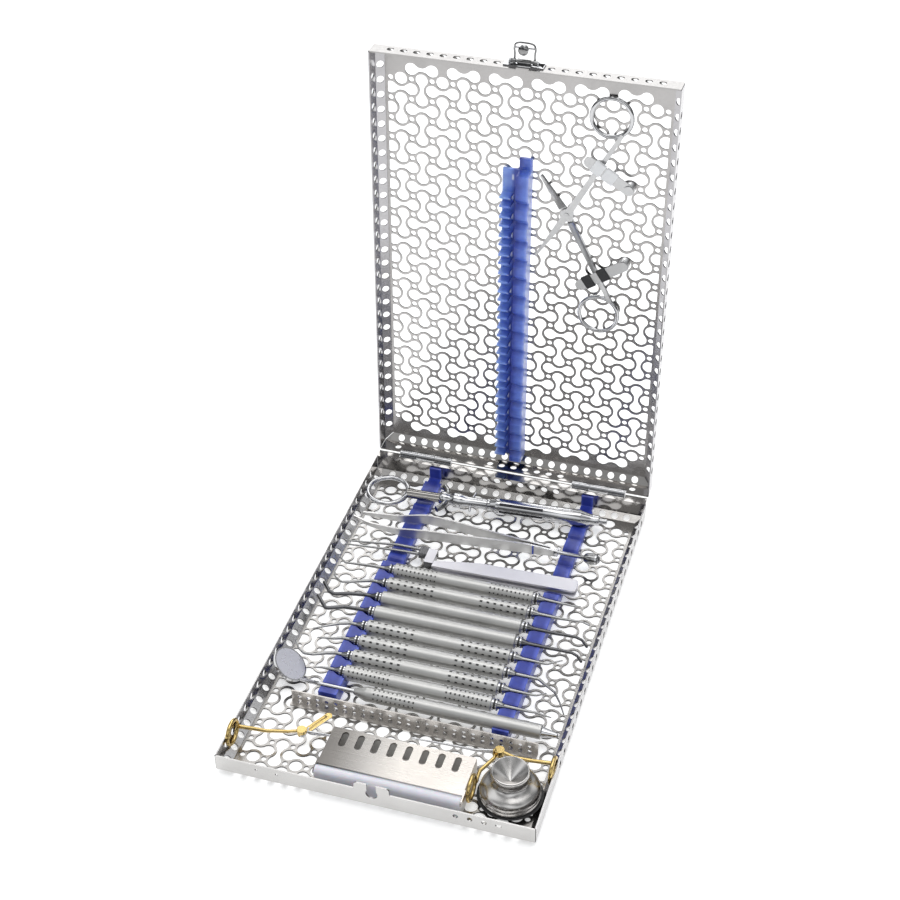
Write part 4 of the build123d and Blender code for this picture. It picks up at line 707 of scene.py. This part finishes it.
bmesh.ops.inset_region(work, faces=pits, thickness=mark_edge, depth=-mark_depth)
for face in pits:
    face.material_index = 1
finish_mesh(work, "mirror_grip", [handle_steel, pit_shade_steel, bright_steel], "mirror",
            replaced=["mirror_handle"])
smooth_copy("mirror_head", "mirror_head_polished", bright_steel)
glass = metal(
    "front_mirror", (0.80, 0.80, 0.86), (0.72, 0.72, 0.79), 0.000001,
    Grain_Size=300.0, Wave_Size=60.0, Rough_Low=0.26, Rough_High=0.32, Wave_Share=0.5,
)
shader = glass.node_tree.nodes["Principled BSDF"]
shader.inputs["Metallic"].default_value = 0.55
give(glass, "mirror_glass")

# ---- Tweezers ---------------------------------------------------------------------------
# One pair with curved points, a printed blue band and a heel knob, one with broad flat grips
# and two thin prongs: spring steel, satin on the grips and polished at the heel.
leg_steel = metal(
    "tweezer_steel", (0.66, 0.65, 0.64), (0.56, 0.555, 0.55), 0.00002,
    Grain_Size=1800.0, Wave_Size=50.0, Rough_Low=0.3, Rough_High=0.4, Wave_Share=0.2,
)
grip_steel = metal(
    "lavender_grip", (0.74, 0.73, 0.76), (0.66, 0.65, 0.685), 0.00002,
    Grain_Size=2200.0, Wave_Size=40.0, Rough_Low=0.42, Rough_High=0.52, Wave_Share=0.15,
)
tip_start = 0.034            # the legs are polished from here to the heel
smooth_copy("probe_tweezers_legs", "probe_tweezers_legs_satin", leg_steel, other=bright_steel,
            where_other=lambda spot: spot.x > tip_start)
smooth_copy("probe_tweezers_heel", "probe_tweezers_heel_polished", bright_steel)
low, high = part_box("probe_tweezers_heel")
knob_radius = (high.z - low.z) / 2
knob_end = Vector((high.x, (low.y + high.y) / 2, (low.z + high.z) / 2))
knob_swell = 0.0001          # over the heel that it covers
knob = [(-0.0125, 0), (-0.0125, 0.0013), (-0.0105, 0.0014), (-0.0100, 0.0026), (-0.0085, 0.0034),
        (-0.0065, knob_radius + knob_swell), (-0.0035, knob_radius + knob_swell),
        (-0.0016, knob_radius - 0.0005), (-0.0004, knob_radius - 0.0018), (0, knob_radius - 0.0026),
        (knob_swell, 0)]
finish_mesh(turned_piece(knob, knob_end), "probe_tweezers_knob", [dark_chrome], "probe_tweezers")
band_place, band_size = (0.0325, 0.0816, 0.0100), (0.0012, 0.0022, 0.0068)
band_blue, shader = plain_plastic("band_blue", (0.05, 0.09, 0.5), (0.03, 0.05, 0.34), 0.35, 400.0, 0.00002)
work = bmesh.new()
bmesh.ops.create_cube(work, size=1.0)
bmesh.ops.scale(work, vec=band_size, verts=work.verts)
bmesh.ops.bevel(work, geom=work.edges[:], offset=0.0003, segments=2, profile=0.5, affect="EDGES", material=-1)
bmesh.ops.translate(work, vec=band_place, verts=work.verts)
finish_mesh(work, "probe_tweezers_band", [band_blue], "probe_tweezers")
smooth_copy("flat_tweezers_prongs", "flat_tweezers_prongs_satin", tip_steel)
smooth_copy("flat_tweezers_grips", "flat_tweezers_grips_satin", grip_steel)
joint_skin = 0.0007          # the joint's lavender top
low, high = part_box("flat_tweezers_joint")
smooth_copy("flat_tweezers_joint", "flat_tweezers_joint_polished", grip_steel,
            other=dark_tip, where_other=lambda spot: spot.z < high.z - joint_skin)

# ---- Cartridge syringe ------------------------------------------------------------------
# Chrome-plated brass: a barrel with windows for the cartridge, a bent finger bow and a wire
# stop across it, and a plunger with a thumb ring.
syringe_tilt = radians(3.5)
syringe_axis = Vector((cos(syringe_tilt), sin(syringe_tilt), 0))
syringe_side = Vector((sin(syringe_tilt), -cos(syringe_tilt), 0))
syringe_centre = Vector((0, 0.1165, 0.010))
barrel_radius = 0.0055
bore_radius = 0.0034
window_start, window_end = 0.001, 0.030
window_steps = ((25, 45), (80, 100), (205, 225), (260, 280))   # degrees round the barrel from its top
window_depth = 0.0008
bow_wire, stop_wire = 0.0021, 0.0008
# Painted shade: the windows are shallow pits coloured near black for the shade inside the barrel.
window_shade = metal(
    "window_shade", (0.05, 0.05, 0.055), (0.025, 0.025, 0.03), 0.00001,
    Grain_Size=500.0, Wave_Size=120.0, Rough_Low=0.2, Rough_High=0.3, Wave_Share=0.6,
)
rod_steel = metal(
    "rod_steel", (0.42, 0.40, 0.38), (0.28, 0.27, 0.26), 0.00001,
    Grain_Size=500.0, Wave_Size=120.0, Rough_Low=0.12, Rough_High=0.2, Wave_Share=0.6,
)
bore_end = 0.050
profile = [(bore_end, 0), (bore_end, bore_radius), (-0.040, bore_radius), (-0.040, 0.0040), (-0.0396, 0.0044),
           (-0.0380, 0.0049), (-0.0366, 0.0049), (-0.0350, 0.0042), (-0.0330, 0.0036), (-0.0312, 0.0042),
           (-0.0302, 0.0050), (-0.0262, 0.0050), (-0.0252, 0.0046), (-0.0210, 0.0036), (-0.0080, 0.0036),
           (-0.0074, 0.0042), (-0.0062, 0.0042), (-0.0056, 0.0038), (-0.0020, barrel_radius - 0.0002),
           (-0.0016, barrel_radius), (window_start, barrel_radius), (window_end, barrel_radius),
           (0.0545, barrel_radius), (0.0550, barrel_radius - 0.0003), (0.0610, 0.0036), (0.0614, 0.0034),
           (0.0665, 0.0034), (0.0670, 0.0030), (0.0672, 0.0018), (0.0718, 0.0018), (0.0720, 0.0015),
           (0.0720, 0)]
work = turned_piece(profile, syringe_centre, axis=syringe_axis)
slots = []
for face in work.faces:
    spot = face.calc_center_median() - syringe_centre
    along = spot.dot(syringe_axis)
    turn = degrees(atan2(spot.dot(syringe_side), spot.z)) % 360
    outside = (spot - syringe_axis * along).length > barrel_radius * 0.9
    in_slot = any(first < turn < last for first, last in window_steps)
    if outside and window_start < along < window_end and in_slot:
        slots.append(face)
bmesh.ops.inset_region(work, faces=slots, thickness=0.00015, depth=-window_depth)
for face in slots:
    face.material_index = 1
finish_mesh(work, "syringe_barrel_chrome", [bright_steel, window_shade], "syringe",
            replaced=["syringe_barrel"])


def by_syringe(along, side):
    """A place level with the syringe's axis: along it, and to its side."""
    return syringe_centre + syringe_axis * along + syringe_side * side


bow = [by_syringe(along, side) for along, side in (
    (-0.0398, 0.0118), (-0.0385, 0.0105), (-0.0362, 0.0070), (-0.0352, 0.0), (-0.0362, -0.0070),
    (-0.0385, -0.0105), (-0.0398, -0.0118))]
finish_mesh(bent_wire(bow, bow_wire), "syringe_bow", [dark_chrome], "syringe")
stop = [by_syringe(along, side) for along, side in (
    (-0.0178, 0.0095), (-0.0186, 0.006), (-0.0190, 0.0), (-0.0186, -0.006), (-0.0178, -0.0095))]
finish_mesh(bent_wire(stop, stop_wire), "syringe_stop", [bright_steel], "syringe")
rod_start = -0.060           # the plunger is darker from its thumb ring on
smooth_copy("syringe_plunger", "syringe_plunger_chrome", bright_steel, other=rod_steel,
            where_other=lambda spot: spot.x > rod_start)

# ---- Gold-handled scissors --------------------------------------------------------------
# Two pairs of fine scissors; their bows are gold plated, as on carbide-tipped scissors.
gold = metal(
    "gold_plate", (0.74, 0.56, 0.24), (0.44, 0.31, 0.11), 0.00001,
    Grain_Size=900.0, Wave_Size=150.0, Rough_Low=0.14, Rough_High=0.24, Wave_Share=0.6,
)
blade_steel = metal(
    "blade_steel", (0.62, 0.62, 0.63), (0.48, 0.48, 0.49), 0.00001,
    Grain_Size=900.0, Wave_Size=80.0, Rough_Low=0.2, Rough_High=0.3, Wave_Share=0.4,
)
plating = 0.00025            # how much fuller the bows are than their bars
left_joint_x = -0.0545
right_joint_x = 0.0585
boss_reach = 0.0035
paddle_y = -0.101            # the left paddle is steel in front of this
arm_y = -0.0945              # the right blades are steel behind this
smooth_copy("left_scissors_outer", "left_scissors_outer_plated", gold,
            other=blade_steel, where_other=lambda spot: spot.x > left_joint_x + boss_reach, swell=plating)
smooth_copy("left_scissors_inner", "left_scissors_inner_plated", gold,
            other=blade_steel, where_other=lambda spot: spot.y < paddle_y and spot.x > left_joint_x)
for node in ("right_scissors_outer", "right_scissors_inner"):
    smooth_copy(node, node + "_plated", gold, other=blade_steel, swell=plating,
                where_other=lambda spot: spot.x < right_joint_x - boss_reach and spot.y > arm_y)

# ---- Instrument box ---------------------------------------------------------------------
# A pale moulded box with a rounded front bar; its slotted cover of brushed stainless turns on
# two short pins in the bar.
pale_plastic, shader = plain_plastic(
    "pale_plastic", (0.74, 0.74, 0.80), (0.66, 0.66, 0.73), 0.3, 200.0, 0.00002)
shader.inputs["Subsurface Weight"].default_value = 0.3
shader.inputs["Subsurface Scale"].default_value = 0.002
# Painted light: a faint glow lightens the box body.
shader.inputs["Emission Color"].default_value = (0.78, 0.77, 0.79, 1)
shader.inputs["Emission Strength"].default_value = 0.07
# Painted light: the inside under the cover is coloured near white to lift its shade.
box_inside_lightened, shader = plain_plastic(
    "box_inside_lightened", (0.97, 0.95, 0.93), (0.86, 0.84, 0.82), 0.5, 200.0, 0.00002)
bar_back, cover_low = -0.1290, 0.0120   # the inside lies behind the bar and under the cover
smooth_copy("box_body", "box_body_moulded", pale_plastic, edge=0.0004, other=box_inside_lightened,
            where_other=lambda spot: spot.y > bar_back and spot.z < cover_low)
brushed = metal(
    "brushed_cover", (0.62, 0.60, 0.58), (0.46, 0.45, 0.44), 0.00003,
    Grain_Size=900.0, Wave_Size=40.0, Rough_Low=0.22, Rough_High=0.38, Wave_Share=0.1,
    Stretch=(0.05, 1.0, 1.0),
)
tree = brushed.node_tree
shader = tree.nodes["Principled BSDF"]
sheen = shader.inputs["Base Color"].links[0].from_socket
# Painted light and shade: the cover is darker towards its low-x end and brighter past its middle.
low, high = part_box("box_cover")
where = tree.nodes.new("ShaderNodeTexCoord")
split = tree.nodes.new("ShaderNodeSeparateXYZ")
link(tree, where.outputs["Object"], split.inputs["Vector"])
across = tree.nodes.new("ShaderNodeMapRange")
across.inputs["From Min"].default_value = low.x
across.inputs["From Max"].default_value = high.x
link(tree, split.outputs["X"], across.inputs["Value"])
shade = colour_steps(tree, across.outputs["Result"], [
    (0.0, (0.30, 0.29, 0.28)), (0.1, (0.36, 0.35, 0.34)), (0.32, (0.72, 0.71, 0.70)),
    (0.55, (1.15, 1.12, 1.08)), (1.0, (1.25, 1.2, 1.15))])
painted_light_mix = tree.nodes.new("ShaderNodeMix")
painted_light_mix.data_type = "RGBA"
painted_light_mix.blend_type = "MULTIPLY"
painted_light_mix.inputs["Factor"].default_value = 1.0
link(tree, sheen, painted_light_mix.inputs["A"])
link(tree, shade, painted_light_mix.inputs["B"])
link(tree, painted_light_mix.outputs["Result"], shader.inputs["Base Color"])
smooth_copy("box_cover", "box_cover_brushed", brushed)

# ---- Mixing well ------------------------------------------------------------------------
# A heavy turned bell of polished stainless with a conical dish, standing on a black rubber ring.
low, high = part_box("well")
centre = Vector(((low.x + high.x) / 2, (low.y + high.y) / 2, low.z))
tall = high.z - low.z
foot = (high.x - low.x) / 2
neck = 0.0094
rim = 0.011
dish_depth = 0.0085
well_steel = metal(
    "turned_steel", (0.62, 0.60, 0.58), (0.46, 0.45, 0.44), 0.000002,
    Grain_Size=700.0, Wave_Size=70.0, Rough_Low=0.22, Rough_High=0.27, Wave_Share=0.8,
)
bell = interpolate_bezier((foot - 0.0001, 0.0038, 0), (foot + 0.0002, 0.0105, 0), (neck + 0.0004, 0.0085, 0),
                          (neck, tall - 0.0055, 0), 24)
profile = [(0, 0), (0, foot - 0.0004), (0.0004, foot), (0.0030, foot), (0.0034, foot - 0.0002)]
profile += [(point.y, point.x) for point in bell]
profile += [(tall - 0.0040, neck + 0.0002), (tall - 0.0030, rim - 0.0004), (tall - 0.0018, rim),
            (tall - 0.0008, rim - 0.0001), (tall - 0.0001, rim - 0.0006), (tall, rim - 0.0010),
            (tall - 0.0003, rim - 0.0015), (tall - dish_depth, 0.0005), (tall - dish_depth - 0.0001, 0)]
work = turned_piece(profile, centre, axis=(0, 0, 1), across=(1, 0, 0))
finish_mesh(work, "well_turned", [well_steel], "well", angle=40.0, replaced=["well"])
smooth_copy("well_ring", "well_ring_rubber", black_rubber)

# ---- Where it stands --------------------------------------------------------------------
# A pale table, two large soft lights over it, and the camera.
camera_place = Vector((0.2398, -0.7334, 0.7639))
camera_turn = 17.81          # degrees from looking along +y towards -x
camera_down = 38.64
camera_roll = 1.13
camera_lens = 70.36
floor_size = 8.0
pale, tree, shader = new_material("pale_table")
shader.inputs["Base Color"].default_value = (0.97, 0.97, 0.965, 1)
shader.inputs["Roughness"].default_value = 0.9
shader.inputs["Emission Color"].default_value = (1, 1, 1, 1)
shader.inputs["Emission Strength"].default_value = 0.35
work = bmesh.new()
bmesh.ops.create_grid(work, x_segments=1, y_segments=1, size=floor_size / 2)
mesh = bpy.data.meshes.new("table")
work.to_mesh(mesh)
work.free()
mesh.materials.append(pale)
table = bpy.data.objects.new("table", mesh)
bpy.context.scene.collection.objects.link(table)
table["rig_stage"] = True


def soft_light(name, place, aim, size, power):
    """A square soft light that points at a place."""
    data = bpy.data.lights.new(name, "AREA")
    data.shape = "SQUARE"
    data.size = size
    data.energy = power
    light = bpy.data.objects.new(name, data)
    light.location = place
    light.rotation_mode = "QUATERNION"
    light.rotation_quaternion = (Vector(aim) - Vector(place)).to_track_quat("-Z", "Y")
    bpy.context.scene.collection.objects.link(light)


soft_light("overhead", (0.2, 0.3, 2.4), (0, 0, 0), 2.2, 30)
soft_light("back", (-0.6, 2.2, 1.7), (0, 0, 0.1), 1.8, 17)
world = bpy.data.worlds.new("studio")
world.use_nodes = True
sky = world.node_tree.nodes
direction = sky.new("ShaderNodeTexCoord")
split = sky.new("ShaderNodeSeparateXYZ")
link(world.node_tree, direction.outputs["Generated"], split.inputs["Vector"])
height = sky.new("ShaderNodeMapRange")
link(world.node_tree, split.outputs["Z"], height.inputs["Value"])
height.inputs["From Min"].default_value = 0.08
height.inputs["From Max"].default_value = 0.6
height.inputs["To Min"].default_value = 0.06
height.inputs["To Max"].default_value = 1.15
cloth = sky.new("ShaderNodeTexNoise")
cloth.inputs["Scale"].default_value = 1.7
cloth.inputs["Detail"].default_value = 0.0
link(world.node_tree, direction.outputs["Generated"], cloth.inputs["Vector"])
folds = sky.new("ShaderNodeMapRange")
link(world.node_tree, cloth.outputs["Fac"], folds.inputs["Value"])
folds.inputs["From Min"].default_value = 0.38
folds.inputs["From Max"].default_value = 0.6
folds.inputs["To Min"].default_value = 0.25
folds.inputs["To Max"].default_value = 1.15
strength = sky.new("ShaderNodeMath")
strength.operation = "MULTIPLY"
link(world.node_tree, height.outputs["Result"], strength.inputs[0])
link(world.node_tree, folds.outputs["Result"], strength.inputs[1])
link(world.node_tree, strength.outputs["Value"], sky["Background"].inputs["Strength"])
sky["Background"].inputs["Color"].default_value = (0.96, 0.98, 1.0, 1)
bpy.context.scene.world = world
bpy.context.scene.view_settings.view_transform = "Standard"

camera = bpy.data.cameras.new("camera")
camera.lens = camera_lens
camera.sensor_width = 36.0
camera.clip_start = 0.01
viewer = bpy.data.objects.new("camera", camera)
turn, down = radians(camera_turn), radians(camera_down)
forward = Vector((-sin(turn) * cos(down), cos(turn) * cos(down), -sin(down)))
viewer.rotation_mode = "QUATERNION"
level = forward.to_track_quat("-Z", "Y")
viewer.rotation_quaternion = Matrix.Rotation(radians(camera_roll), 3, forward).to_quaternion() @ level
viewer.location = camera_place
bpy.context.scene.collection.objects.link(viewer)
bpy.context.scene.camera = viewer

low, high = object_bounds()
